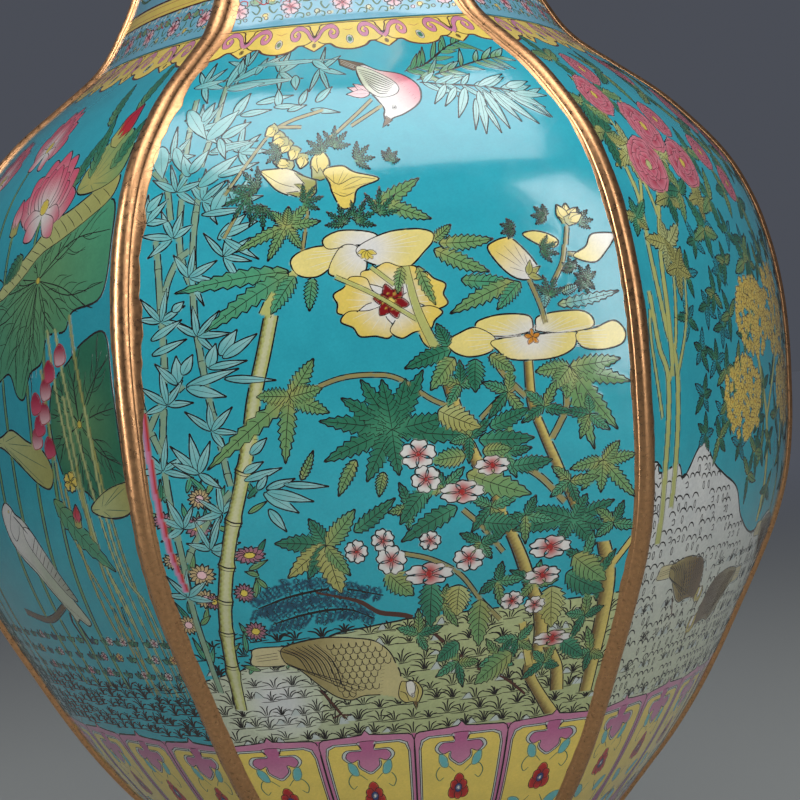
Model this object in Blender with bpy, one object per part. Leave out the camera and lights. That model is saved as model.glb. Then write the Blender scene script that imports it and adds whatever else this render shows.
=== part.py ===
"""Six-sided baluster vase in porcelain: moulded wall panels luted together at gilt corner ribs.

Each tier of the wall, foot, body and neck, is six curved panels that stand side by side. A rib fills
every corner from the foot ring up to the lip and stands proud of the panels. A base plate closes the
bottom inside the foot ring, and a rolled lip closes the top. The vase stands on the XY plane with its
axis on +Z, and its front panel faces -Y.
"""
import math

import bpy
import bmesh
from mathutils import Vector

# Driving dimensions, in metres.
HEIGHT = 0.360
BELLY_RADIUS = 0.088
WALL = 0.005
JOINT_GAP = 0.0003

# Corner radius of the outer wall against height above the foot, both as shares of the belly's radius.
WALL_PROFILE = (
    (0.000, 0.568),
    (0.136, 0.500),
    (0.273, 0.425),
    (0.386, 0.395),
    (0.477, 0.409),
    (0.580, 0.477),
    (0.809, 0.678),
    (1.041, 0.824),
    (1.316, 0.960),
    (1.591, 1.000),
    (1.866, 0.988),
    (2.095, 0.908),
    (2.278, 0.744),
    (2.416, 0.561),
    (2.554, 0.472),
    (2.727, 0.409),
    (2.977, 0.375),
    (3.295, 0.381),
    (3.614, 0.426),
    (3.886, 0.506),
    (4.091, 0.602),
)

SIDES = 6
HALF_SIDE = math.pi / SIDES
FACE_BULGE = 0.93          # distance of a face's middle from the axis, over the corner's distance

FOOT_RING_HEIGHT = 0.008
FOOT_RING_INNER = 0.035
FOOT_RING_CHAMFER = 0.0012
BASE_PLATE_RADIUS = 0.0374
BASE_PLATE_THICKNESS = 0.0045
WAIST_JOINT = 0.036        # height of the joint between foot and body
SHOULDER_JOINT = 0.2125    # height of the joint between body and neck
LIP_HEIGHT = 0.0075
RIM_OVERHANG = 0.0024      # how far the lip and the foot ring stand proud of the wall

RIB_WIDTH = 0.0044
RIB_CROWN = 0.0017         # height of a rib's crown over the corner it covers
RIB_SHOULDER = -0.0003     # level of a rib's sides where the crown starts, from the same corner
RIB_CROWN_STEPS = 5

SIDE_NAMES = ("front", "front_right", "back_right", "back", "back_left", "front_left")
CORNER_NAMES = ("front_right", "right", "back_right", "back_left", "left", "front_left")

TURQUOISE = (0.035, 0.36, 0.45, 1.0)
PALE_BLUE = (0.22, 0.50, 0.62, 1.0)
GILT = (0.55, 0.27, 0.08, 1.0)


# ---------------------------------------------------------------- the wall's form

def outer_radius(height):
    """Corner radius of the outer wall: a smooth curve through the profile's points."""
    at = height / BELLY_RADIUS
    points = WALL_PROFILE
    last = len(points) - 2
    index = max(i for i in range(last + 1) if i == 0 or points[i][0] <= at)
    before = points[max(index - 1, 0)]
    start = points[index]
    end = points[index + 1]
    after = points[min(index + 2, len(points) - 1)]
    span = end[0] - start[0]
    start_slope = (end[1] - before[1]) / (end[0] - before[0])
    end_slope = (after[1] - start[1]) / (after[0] - start[0])
    t = (at - start[0]) / span
    radius = (2 * t ** 3 - 3 * t ** 2 + 1) * start[1]
    radius += (t ** 3 - 2 * t ** 2 + t) * span * start_slope
    radius += (3 * t ** 2 - 2 * t ** 3) * end[1]
    radius += (t ** 3 - t ** 2) * span * end_slope
    return radius * BELLY_RADIUS


def slant(height):
    """Length along the wall for one unit of horizontal depth, which grows where the wall leans."""
    step = 0.0005
    rise = (outer_radius(height + step) - outer_radius(height - step)) / (2 * step)
    return math.hypot(1.0, rise)


def inner_radius(height):
    """Corner radius of the inner wall, one wall thickness inside the outer one."""
    return outer_radius(height) - WALL * slant(height)


def lobe(angle):
    """Distance from the axis at an angle from a face's middle, where a corner's distance is 1."""
    half_chord = math.sin(HALF_SIDE)
    rise = FACE_BULGE - math.cos(HALF_SIDE)
    face_radius = (half_chord ** 2 + rise ** 2) / (2 * rise)
    centre = FACE_BULGE - face_radius
    return centre * math.cos(angle) + math.sqrt(face_radius ** 2 - (centre * math.sin(angle)) ** 2)


def around(distance, angle, height):
    """The point at a distance from the axis and an angle from -Y towards +X."""
    return Vector((distance * math.sin(angle), -distance * math.cos(angle), height))


def face_arc(radius, height, facing, steps):
    """Points across one face, from one corner's rib to the next, at one height."""
    clearance = RIB_WIDTH / 2 + JOINT_GAP
    reach = HALF_SIDE - math.asin(clearance / radius)
    reach = HALF_SIDE - math.asin(clearance / (radius * lobe(reach)))
    points = []
    for i in range(steps + 1):
        angle = reach * (2 * i / steps - 1)
        points.append(around(radius * lobe(angle), facing + angle, height))
    return points


def heights_between(bottom, top, steps):
    """Heights spaced evenly along the wall's slope."""
    fine = 400
    samples = [bottom + (top - bottom) * i / fine for i in range(fine + 1)]
    lengths = [0.0]
    for low, high in zip(samples, samples[1:]):
        lengths.append(lengths[-1] + math.hypot(high - low, outer_radius(high) - outer_radius(low)))
    heights = []
    for i in range(steps + 1):
        target = lengths[-1] * i / steps
        nearest = min(range(fine + 1), key=lambda n: abs(lengths[n] - target))
        heights.append(samples[nearest])
    return heights


# ---------------------------------------------------------------- making solids

def material(name, colour, roughness, metallic):
    """A Principled material."""
    made = bpy.data.materials.new(name)
    made.use_nodes = True
    shader = made.node_tree.nodes["Principled BSDF"]
    shader.inputs["Base Color"].default_value = colour
    shader.inputs["Roughness"].default_value = roughness
    shader.inputs["Metallic"].default_value = metallic
    made.diffuse_color = colour
    return made


def add_piece(name, mesh, collection, finish, turn=0.0):
    """One named object for one piece, turned about the vase's axis."""
    piece = bpy.data.objects.new(name, mesh)
    piece.rotation_euler = (0.0, 0.0, turn)
    if not mesh.materials:
        mesh.materials.append(finish)
    collection.objects.link(piece)
    return piece


def loft(name, sections, closed=False):
    """A solid skin over a row of sections, each an outer row of points and an inner row back.

    An open loft is capped at both ends with faces between the two rows. A closed one joins its
    last section to its first.
    """
    shape = bmesh.new()
    rings = [[shape.verts.new(point) for point in section] for section in sections]
    count = len(rings[0])
    pairs = list(zip(rings, rings[1:]))
    if closed:
        pairs.append((rings[-1], rings[0]))
    for low, high in pairs:
        for i in range(count):
            after = (i + 1) % count
            shape.faces.new((low[i], low[after], high[after], high[i]))
    if not closed:
        for ring in (rings[0], rings[-1]):
            for i in range(count // 2 - 1):
                shape.faces.new((ring[i], ring[i + 1], ring[count - 2 - i], ring[count - 1 - i]))
    bmesh.ops.recalc_face_normals(shape, faces=shape.faces)
    mesh = bpy.data.meshes.new(name)
    shape.to_mesh(mesh)
    shape.free()
    mesh.shade_smooth()
    mesh.set_sharp_from_angle(angle=math.radians(35))
    return mesh


# ---------------------------------------------------------------- the pieces

def panel_mesh(name, bottom, top, rows, columns):
    """A wall panel that faces -Y: two curved skins one wall thickness apart."""
    sections = []
    for height in heights_between(bottom, top, rows):
        outside = face_arc(outer_radius(height), height, 0.0, columns)
        inside = face_arc(inner_radius(height), height, 0.0, columns)
        sections.append(outside + inside[::-1])
    return loft(name, sections)


def rib_mesh(name, bottom, top, rows):
    """A corner rib: as deep as the wall, with a rounded crown that stands proud of it."""
    sections = []
    for height in heights_between(bottom, top, rows):
        lean = slant(height)
        inside = inner_radius(height)
        crown = []
        for i in range(RIB_CROWN_STEPS + 1):
            angle = math.pi * i / RIB_CROWN_STEPS
            level = RIB_SHOULDER + (RIB_CROWN - RIB_SHOULDER) * math.sin(angle)
            across = -RIB_WIDTH / 2 * math.cos(angle)
            crown.append(Vector((across, -(outer_radius(height) + level * lean), height)))
        back = []
        for point in reversed(crown):
            back.append(Vector((point.x, -inside, height)))
        sections.append(crown + back)
    return loft(name, sections)


def ring_mesh(name, outline, steps_per_side):
    """A ring that follows the six-sided plan, from an outline of (corner radius, height) points."""
    sections = []
    for i in range(SIDES * steps_per_side):
        angle = 2 * HALF_SIDE * (i % steps_per_side) / steps_per_side - HALF_SIDE
        bearing = 2 * HALF_SIDE * i / steps_per_side - HALF_SIDE
        sections.append([around(radius * lobe(angle), bearing, height) for radius, height in outline])
    return loft(name, sections, closed=True)


def lip_outline():
    """The rolled lip in section: flat underneath, domed on top and leaning out with the mouth."""
    bottom = HEIGHT - LIP_HEIGHT
    inner = inner_radius(bottom)
    outer = outer_radius(bottom) + RIM_OVERHANG
    lean = 0.30
    steps = 8
    outline = []
    for i in range(steps + 1):
        angle = math.pi * i / steps
        rise = LIP_HEIGHT * math.sin(angle)
        radius = (inner + outer) / 2 + (outer - inner) / 2 * math.cos(angle)
        outline.append((radius + lean * rise, bottom + rise))
    return outline


def foot_ring_outline():
    """The foot ring in section: a flat tread with chamfered edges, under the wall."""
    edge = FOOT_RING_CHAMFER
    tread = outer_radius(0.0) + RIM_OVERHANG / 2
    top = outer_radius(FOOT_RING_HEIGHT) + RIM_OVERHANG
    return [
        (tread - edge, 0.0),
        (tread, edge),
        (top, FOOT_RING_HEIGHT),
        (FOOT_RING_INNER, FOOT_RING_HEIGHT),
        (FOOT_RING_INNER, edge),
        (FOOT_RING_INNER + edge, 0.0),
    ]


def base_plate(collection, finish):
    """The floor of the vase: a flat six-sided plate that rests on the foot ring."""
    steps = 6
    outline = bpy.data.curves.new("base_plate", "CURVE")
    outline.dimensions = "2D"
    outline.fill_mode = "BOTH"
    outline.extrude = BASE_PLATE_THICKNESS / 2
    edge = outline.splines.new("POLY")
    edge.points.add(SIDES * steps - 1)
    for i, point in enumerate(edge.points):
        angle = 2 * HALF_SIDE * (i % steps) / steps - HALF_SIDE
        bearing = 2 * HALF_SIDE * i / steps - HALF_SIDE
        place = around(BASE_PLATE_RADIUS * lobe(angle), bearing, 0.0)
        point.co = (place.x, place.y, 0.0, 1.0)
    edge.use_cyclic_u = True
    outline.materials.append(finish)
    plate = bpy.data.objects.new("base_plate", outline)
    plate.location.z = FOOT_RING_HEIGHT + JOINT_GAP + BASE_PLATE_THICKNESS / 2
    collection.objects.link(plate)
    return plate


def main():
    for thing in list(bpy.data.objects):
        bpy.data.objects.remove(thing, do_unlink=True)
    vase = bpy.data.collections.new("hexagonal_vase")
    bpy.context.scene.collection.children.link(vase)

    turquoise_enamel = material("turquoise_enamel", TURQUOISE, 0.12, 0.0)
    pale_blue_enamel = material("pale_blue_enamel", PALE_BLUE, 0.12, 0.0)
    gilding = material("gilding", GILT, 0.35, 1.0)

    lip_bottom = HEIGHT - LIP_HEIGHT
    tiers = (
        ("foot_panel", FOOT_RING_HEIGHT + JOINT_GAP, WAIST_JOINT - JOINT_GAP, 5, 4, turquoise_enamel),
        ("body_panel", WAIST_JOINT, SHOULDER_JOINT - JOINT_GAP, 21, 6, turquoise_enamel),
        ("neck_panel", SHOULDER_JOINT, lip_bottom - JOINT_GAP, 13, 4, pale_blue_enamel),
    )
    for tier, bottom, top, rows, columns, finish in tiers:
        mesh = panel_mesh(tier, bottom, top, rows, columns)
        for side, side_name in enumerate(SIDE_NAMES):
            add_piece(f"{tier}_{side_name}", mesh, vase, finish, turn=side * 2 * HALF_SIDE)

    mesh = rib_mesh("corner_rib", FOOT_RING_HEIGHT + JOINT_GAP, lip_bottom - JOINT_GAP, 36)
    for corner, corner_name in enumerate(CORNER_NAMES):
        turn = (2 * corner + 1) * HALF_SIDE
        add_piece(f"corner_rib_{corner_name}", mesh, vase, gilding, turn=turn)

    add_piece("lip_rim", ring_mesh("lip_rim", lip_outline(), 8), vase, gilding)
    add_piece("foot_ring", ring_mesh("foot_ring", foot_ring_outline(), 6), vase, gilding)
    base_plate(vase, turquoise_enamel)


main()
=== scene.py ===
"""The looks of the hexagonal porcelain vase.

Every wall panel of the frame gets a smooth skin. Its painting is laid on a fine grid of vertices in
flat washes and shaded fills, and the drawn outlines are thin raised ribbons of dark enamel on top.
Panel drawings use millimetres, and z is the height above the belly. x runs across a face: from -44 to
44 on the body, whatever the face's real width there, and in real millimetres on the neck and foot.
"""
import math
import bpy
import numpy as np
from mathutils import Matrix, Vector

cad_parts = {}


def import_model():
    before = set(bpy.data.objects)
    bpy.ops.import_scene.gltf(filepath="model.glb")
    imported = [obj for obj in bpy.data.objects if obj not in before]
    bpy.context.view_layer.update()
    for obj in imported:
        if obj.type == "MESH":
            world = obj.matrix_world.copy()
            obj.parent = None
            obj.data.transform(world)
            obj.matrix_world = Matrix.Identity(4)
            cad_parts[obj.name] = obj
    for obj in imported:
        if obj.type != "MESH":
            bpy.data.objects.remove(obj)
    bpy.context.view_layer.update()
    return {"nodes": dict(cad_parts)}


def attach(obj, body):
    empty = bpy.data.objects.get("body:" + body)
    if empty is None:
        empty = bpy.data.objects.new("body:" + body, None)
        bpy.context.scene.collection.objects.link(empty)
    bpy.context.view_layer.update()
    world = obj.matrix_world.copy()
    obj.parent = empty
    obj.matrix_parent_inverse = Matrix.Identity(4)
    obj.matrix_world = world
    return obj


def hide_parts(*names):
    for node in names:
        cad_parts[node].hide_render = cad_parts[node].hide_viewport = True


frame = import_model()

MM = 0.001
SIDES = 6
HALF_SIDE = math.pi / SIDES
FACE_BULGE = 0.93               # how far a face's middle is from the axis, over the corner's distance
HALF_FACE = 44.0                # drawing units from a face's middle to its corner
WALL = 0.005
BELLY = 0.140                   # height of the drawing's zero
BODY_LOW, BODY_HIGH = -104, 72.5    # the paintings' lowest and highest z, in drawing units
NECK_HIGH = 212.3
FOOT_LOW, FOOT_HIGH = -131.7, -104.3
ACROSS = 46                     # from a face's middle to just past its corner, in drawing units
RIB_HALF = 0.0017
RIB_CROWN = 0.0010
RING_OVERHANG = 0.0023          # how far the lip and the foot ring stand out past the wall
SIDE_NAMES = ("front", "front_right", "back_right", "back", "back_left", "front_left")
CORNER_NAMES = ("front_right", "right", "back_right", "back_left", "left", "front_left")
LINE_WEIGHT = 1.45


# ================================================================ colours

def srgb(red, green, blue):
    """Linear values of a colour given as display values from 0 to 255."""
    values = np.array([red, green, blue]) / 255.0
    return np.where(values <= 0.04045, values / 12.92, ((values + 0.055) / 1.055) ** 2.4)


TURQUOISE = srgb(52, 180, 194)
TURQUOISE_DEEP = srgb(48, 172, 190)
BAMBOO_LEAF = srgb(112, 190, 190)
BAMBOO_LEAF_PALE = srgb(160, 210, 206)
BAMBOO_STEM = srgb(140, 170, 140)
CANE = srgb(196, 198, 118)
CANE_SHADE = srgb(120, 112, 50)
YELLOW = srgb(246, 216, 104)
YELLOW_PALE = srgb(246, 240, 226)
CREAM = srgb(248, 228, 138)
LEMON = srgb(232, 206, 84)
LEAF_DARK = srgb(84, 164, 122)
LEAF_MID = srgb(120, 164, 104)
LEAF_OLIVE = srgb(180, 178, 102)
LEAF_LIGHT = srgb(198, 204, 136)
PINE = srgb(50, 126, 94)
BARK = srgb(112, 84, 46)
BARK_LIGHT = srgb(222, 200, 110)
TWIG = srgb(164, 152, 96)
WHITE = srgb(240, 236, 228)
ROSE = srgb(222, 92, 118)
ROSE_PALE = srgb(244, 198, 200)
CRIMSON = srgb(176, 30, 62)
RED = srgb(200, 44, 40)
RED_DEEP = srgb(140, 22, 26)
MAUVE = srgb(196, 104, 148)
MAUVE_PALE = srgb(212, 134, 166)
BLUE = srgb(34, 70, 128)
GRASS = srgb(196, 204, 146)
GRASS_PALE = srgb(212, 218, 188)
BANK_WHITE = srgb(230, 230, 224)
QUAIL = srgb(208, 190, 112)
QUAIL_PALE = srgb(214, 200, 140)
QUAIL_SHADE = srgb(158, 140, 84)
NECK_BLUE = srgb(120, 186, 208)
FERN = srgb(30, 84, 106)
ASTER = srgb(204, 178, 128)
INK = srgb(30, 22, 20)
INK_BROWN = srgb(84, 50, 40)
PALE_LINE = srgb(206, 214, 206)
GREEN_LINE = srgb(70, 110, 84)
ROSE_LINE = srgb(170, 60, 70)
WHITE_LINE = srgb(236, 232, 222)
GOLD = np.array([0.64, 0.34, 0.16])
GOLD_PALE = np.array([0.78, 0.45, 0.22])
BISCUIT = np.array([0.55, 0.46, 0.36])
FLOOR_PALE = np.array([0.32, 0.335, 0.325])
# the floor's colour far from the vase, black so that only its painted grey glow shows there
FLOOR_FAR = np.array([0.0, 0.0, 0.0])
WORLD_GREY = np.array([0.070, 0.076, 0.094])
LINES = {"ink": INK, "brown": INK_BROWN, "pale": PALE_LINE, "green": GREEN_LINE, "rose": ROSE_LINE,
         "white": WHITE_LINE}


def blend_colour(first, second, share):
    """A colour between two others."""
    return np.asarray(first) * (1 - share) + np.asarray(second) * share


def along(start, end, first, second):
    """A wash that changes from one colour to another between two points."""
    start = np.array(start, float)
    run = np.array(end, float) - start

    def shade(x, z):
        share = ((x - start[0]) * run[0] + (z - start[1]) * run[1]) / (run @ run)
        share = np.clip(share, 0, 1)[..., None]
        share = share * share * (3 - 2 * share)
        return first * (1 - share) + second * share
    return shade


def rounded(centre, reach, inner, outer, start=0.0):
    """A wash that changes from one colour at a centre to another at a distance from it."""
    def shade(x, z):
        share = np.hypot(x - centre[0], z - centre[1]) / reach
        share = np.clip((share - start) / (1 - start), 0, 1)[..., None]
        share = share * share * (3 - 2 * share)
        return inner * (1 - share) + outer * share
    return shade


# ================================================================ the wall's form, from the frame

def wall_profile():
    """Heights and corner radii of the outer wall, read down the middle of the front panels."""
    found = {}
    for tier in ("foot_panel", "body_panel", "neck_panel"):
        for vertex in frame["nodes"][tier + "_front"].data.vertices:
            if abs(vertex.co.x) < 1e-6:
                height = round(vertex.co.z, 5)
                found[height] = max(found.get(height, 0.0), -vertex.co.y / FACE_BULGE)
    heights = np.array(sorted(found))
    radii = np.array([found[height] for height in heights])
    keep = np.concatenate([[True], np.diff(heights) > 0.001])
    return heights[keep], radii[keep]


def smooth_profile():
    """The profile as a dense table, smooth through the frame's own heights."""
    heights, radii = wall_profile()
    slopes = np.gradient(radii, heights)
    dense = np.linspace(heights[0], heights[-1], 4001)
    index = np.clip(np.searchsorted(heights, dense) - 1, 0, len(heights) - 2)
    span = heights[index + 1] - heights[index]
    t = (dense - heights[index]) / span
    table = (2 * t ** 3 - 3 * t ** 2 + 1) * radii[index]
    table += (t ** 3 - 2 * t ** 2 + t) * span * slopes[index]
    table += (3 * t ** 2 - 2 * t ** 3) * radii[index + 1]
    table += (t ** 3 - t ** 2) * span * slopes[index + 1]
    return dense, table


PROFILE_Z, PROFILE_R = smooth_profile()
PROFILE_SLOPE = np.gradient(PROFILE_R, PROFILE_Z)
HALF_CHORD = math.sin(HALF_SIDE)
FACE_RISE = FACE_BULGE - math.cos(HALF_SIDE)
FACE_RADIUS = (HALF_CHORD ** 2 + FACE_RISE ** 2) / (2 * FACE_RISE)
FACE_CENTRE = FACE_BULGE - FACE_RADIUS


def radius_at(z):
    """Corner radius of the outer wall."""
    return np.interp(z, PROFILE_Z, PROFILE_R)


def slope_at(z):
    """How the wall's corner radius changes with height."""
    return np.interp(z, PROFILE_Z, PROFILE_SLOPE)


def on_face(face, share, z, lift=0.0, inside=False):
    """Points and normals on a face. share runs from -1 to 1 across it, lift is along the normal."""
    share = np.asarray(share, float)
    z = np.asarray(z, float)
    radius = radius_at(z)
    slope = slope_at(z)
    if inside:
        radius = radius - WALL * np.hypot(1, slope)
    root = np.sqrt(FACE_RADIUS ** 2 - (share * HALF_CHORD) ** 2)
    depth = FACE_CENTRE + root
    fall = -share * HALF_CHORD ** 2 / root
    across = radius * share * HALF_CHORD
    outward = radius * depth
    normal = np.stack([-radius * fall, radius * HALF_CHORD + 0 * share,
                       -radius * slope * HALF_CHORD * (depth - fall * share)], -1)
    normal /= np.linalg.norm(normal, axis=-1, keepdims=True)
    turn = face * 2 * HALF_SIDE
    cosine = math.cos(turn)
    sine = math.sin(turn)

    def world(side, out, up):
        return np.stack([side * cosine + out * sine, -out * cosine + side * sine, up], -1)
    place = world(across, outward, z + 0 * share)
    facing = world(normal[..., 0], normal[..., 1], normal[..., 2])
    return place + facing * np.asarray(lift)[..., None], facing


# ================================================================ meshes and pieces

def build_mesh(name, verts, quads, loose=(), slots=None):
    """A mesh from an array of points, an array of four-sided faces and a list of other faces."""
    mesh = bpy.data.meshes.new(name)
    quads = np.asarray(quads, np.int32).reshape(-1, 4)
    loops = [quads.ravel()] + [np.asarray(face, np.int32) for face in loose]
    totals = np.concatenate([np.full(len(quads), 4), np.array([len(face) for face in loose], int)])
    totals = totals.astype(np.int32)
    starts = np.concatenate([[0], np.cumsum(totals)[:-1]]).astype(np.int32)
    corners = np.concatenate(loops).astype(np.int32)
    mesh.vertices.add(len(verts))
    mesh.vertices.foreach_set("co", np.asarray(verts, np.float32).ravel())
    mesh.loops.add(len(corners))
    mesh.loops.foreach_set("vertex_index", corners)
    mesh.polygons.add(len(totals))
    mesh.polygons.foreach_set("loop_start", starts)
    if slots is not None:
        mesh.polygons.foreach_set("material_index", np.asarray(slots, np.int32))
    mesh.update(calc_edges=True)
    mesh.validate()
    mesh.shade_smooth()
    return mesh


def grid_quads(rows, columns, start=0, flip=False, closed=False):
    """Faces of a grid of points stored row by row."""
    last = columns if closed else columns - 1
    row, column = np.meshgrid(np.arange(rows - 1), np.arange(last), indexing="ij")
    after = (column + 1) % columns
    a = start + row * columns + column
    b = start + row * columns + after
    c = b + columns
    d = a + columns
    order = (a, d, c, b) if flip else (a, b, c, d)
    return np.stack([part.ravel() for part in order], -1)


def add_piece(name, mesh, materials, replaced=(), body="root"):
    """Puts a piece in the scene on its body."""
    piece = bpy.data.objects.new(name, mesh)
    bpy.context.scene.collection.objects.link(piece)
    for made in materials:
        mesh.materials.append(made)
    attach(piece, body)
    if replaced:
        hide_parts(*replaced)
    return piece


# ================================================================ drawing on a face

def smooth_line(points, closed=False, steps=6):
    """A curve through points."""
    points = np.asarray(points, float)
    count = len(points)
    if closed:
        order = np.arange(-1, count + 2) % count
        padded = points[order]
        spans = count
    else:
        padded = np.vstack([2 * points[0] - points[1], points, 2 * points[-1] - points[-2]])
        spans = count - 1
    t = (np.arange(steps) / steps)[:, None]
    pieces = []
    for i in range(spans):
        p0, p1, p2, p3 = padded[i:i + 4]
        pieces.append(0.5 * (2 * p1 + (p2 - p0) * t + (2 * p0 - 5 * p1 + 4 * p2 - p3) * t ** 2
                             + (3 * p1 - p0 - 3 * p2 + p3) * t ** 3))
    line = np.vstack(pieces)
    if closed:
        return line
    return np.vstack([line, points[-1]])


def turned(points, at=(0, 0), turn=0.0, size=1.0, flip=False):
    """Local points moved to a place: turn in degrees, counter-clockwise."""
    points = np.asarray(points, float) * size
    if flip:
        points = points * [1, -1]
    angle = math.radians(turn)
    cosine, sine = math.cos(angle), math.sin(angle)
    x = points[..., 0] * cosine - points[..., 1] * sine + at[0]
    z = points[..., 0] * sine + points[..., 1] * cosine + at[1]
    return np.stack([x, z], -1)


def reached(at, degrees, length):
    """The point some distance from another, in a direction counter-clockwise from +x."""
    angle = math.radians(degrees)
    return at[0] + length * math.cos(angle), at[1] + length * math.sin(angle)


def mirrored(points, hand):
    """Points as they are for a hand of 1, and left for right for -1."""
    return [(hand * x, z) for x, z in points]


def shifted(points, centre):
    """Points moved sideways by a centre's place."""
    return np.array(points, float) + (centre, 0)


def scaled(points, level, share):
    """Points drawn in towards the middle of a level, or out from it."""
    return [(x * share, level + (z - level) * share) for x, z in points]


def quick_pitch(fine):
    return fine


def half_width(z):
    """Half a face's real width in millimetres, at a height of the drawing."""
    return radius_at(BELLY + np.asarray(z) * MM) * HALF_CHORD / MM


def panel_edge(z):
    """How much of a face its panel takes, the rest being the corner ribs' share."""
    return 1 - RIB_HALF / (radius_at(z) * HALF_CHORD) * 1.05


class Painting:
    """One face's painting: a grid of colours, what covers what, and the drawn lines."""

    def __init__(self, low, high, pitch, ground, seed, pitch_across=None, true_width=False):
        self.true_width = true_width
        columns = int(round(2 * HALF_FACE / (pitch_across or pitch)))
        self.x = np.linspace(-HALF_FACE, HALF_FACE, columns + 1)
        fine = np.linspace(low, high, 600)
        radius = radius_at(BELLY + fine * MM)
        length = np.concatenate([[0], np.cumsum(np.hypot(np.diff(fine) * MM, np.diff(radius)))])
        rows = int(round(length[-1] / MM / pitch))
        self.z = np.interp(np.linspace(0, length[-1], rows + 1), length, fine)
        self.low = low
        self.high = high
        self.grid_x, self.grid_z = np.meshgrid(self.x, self.z)
        self.colour = np.empty(self.grid_x.shape + (3,))
        self.colour[:] = ground
        self.order = np.zeros(self.grid_x.shape, np.int32)
        self.relief = np.zeros(self.grid_x.shape)
        self.layer = 0
        self.strokes = []
        self.random = np.random.default_rng(seed)

    def widened(self, points):
        """Points in the painting's own units, for a drawing whose x is in real millimetres."""
        points = np.array(points, float)
        if self.true_width:
            points[:, 0] *= HALF_FACE / half_width(points[:, 1])
        return points

    def area(self, outline):
        """The part of the grid round an outline, and which of its points lie inside."""
        low_x, low_z = outline.min(0)
        high_x, high_z = outline.max(0)
        first = np.searchsorted(self.x, low_x)
        last = np.searchsorted(self.x, high_x)
        bottom = np.searchsorted(self.z, low_z)
        top = np.searchsorted(self.z, high_z)
        if last <= first or top <= bottom:
            return None
        window = (slice(bottom, top), slice(first, last))
        x = self.x[first:last]
        inside = np.zeros((top - bottom, last - first), bool)
        starts = outline
        ends = np.roll(outline, -1, 0)
        for row in range(bottom, top):
            z = self.z[row]
            crosses = (starts[:, 1] <= z) != (ends[:, 1] <= z)
            if not crosses.any():
                continue
            a = starts[crosses]
            b = ends[crosses]
            at = np.sort(a[:, 0] + (z - a[:, 1]) * (b[:, 0] - a[:, 0]) / (b[:, 1] - a[:, 1]))
            inside[row - bottom] = np.searchsorted(at, x) % 2 == 1
        return window, inside

    def fill(self, outline, shade, raised=0.03, mottle=0.04):
        """Lays enamel inside an outline, over everything drawn so far."""
        self.layer += 1
        found = self.area(self.widened(outline))
        if found is None:
            return
        window, inside = found
        if callable(shade):
            grid_x = self.grid_x[window]
            if self.true_width:
                grid_x = grid_x * half_width(self.grid_z[window]) / HALF_FACE
            laid = shade(grid_x, self.grid_z[window])[inside]
        else:
            laid = np.broadcast_to(shade, (int(inside.sum()), 3))
        if mottle:
            laid = laid * (1 + mottle * self.random.normal(size=(len(laid), 1)).clip(-2, 2) * 0.5)
        self.colour[window][inside] = laid
        self.order[window][inside] = self.layer
        self.relief[window][inside] = raised

    def line(self, points, width=0.26, ink="ink", ends=0.45):
        """A drawn line. ends is the share of the width left at its two ends."""
        if len(points) >= 2:
            self.strokes.append((self.widened(points), width * LINE_WEIGHT, ink, ends, self.layer))

    def curve(self, points, width=0.26, ink="ink", ends=0.45, steps=5):
        """A drawn line that runs smoothly through its points."""
        self.line(smooth_line(points, steps=steps), width, ink, ends)

    def outline(self, points, width=0.26, ink="ink"):
        """A closed drawn line of even width."""
        points = np.asarray(points, float)
        self.line(np.vstack([points, points[:1]]), width, ink, 1.0)

    def shape(self, points, shade, width=0.26, ink="ink", smooth=True, **more):
        """A filled and outlined shape."""
        outline = smooth_line(points, closed=True) if smooth else np.asarray(points, float)
        self.fill(outline, shade, **more)
        if width:
            self.outline(outline, width, ink)

    def seen(self, points, layer):
        """Which points of a line are not covered by something laid later."""
        column = np.clip(np.rint((points[:, 0] + HALF_FACE) / (2 * HALF_FACE) * (len(self.x) - 1)), 0,
                         len(self.x) - 1).astype(int)
        row = np.clip(np.searchsorted(self.z, points[:, 1]), 0, len(self.z) - 1)
        shown = self.order[row, column] <= layer
        edge = HALF_FACE * panel_edge(BELLY + points[:, 1] * MM)
        height = points[:, 1]
        inside = (np.abs(points[:, 0]) < edge) & (height > self.low + 0.2) & (height < self.high - 0.2)
        return shown & inside


def resampled(points, spacing):
    """A line with its own corners kept and points added between them."""
    kept = [points[:1]]
    for start, end in zip(points, points[1:]):
        steps = max(1, int(math.hypot(*(end - start)) / spacing + 0.5))
        share = (np.arange(1, steps + 1) / steps)[:, None]
        kept.append(start + (end - start) * share)
    return np.vstack(kept)


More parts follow.
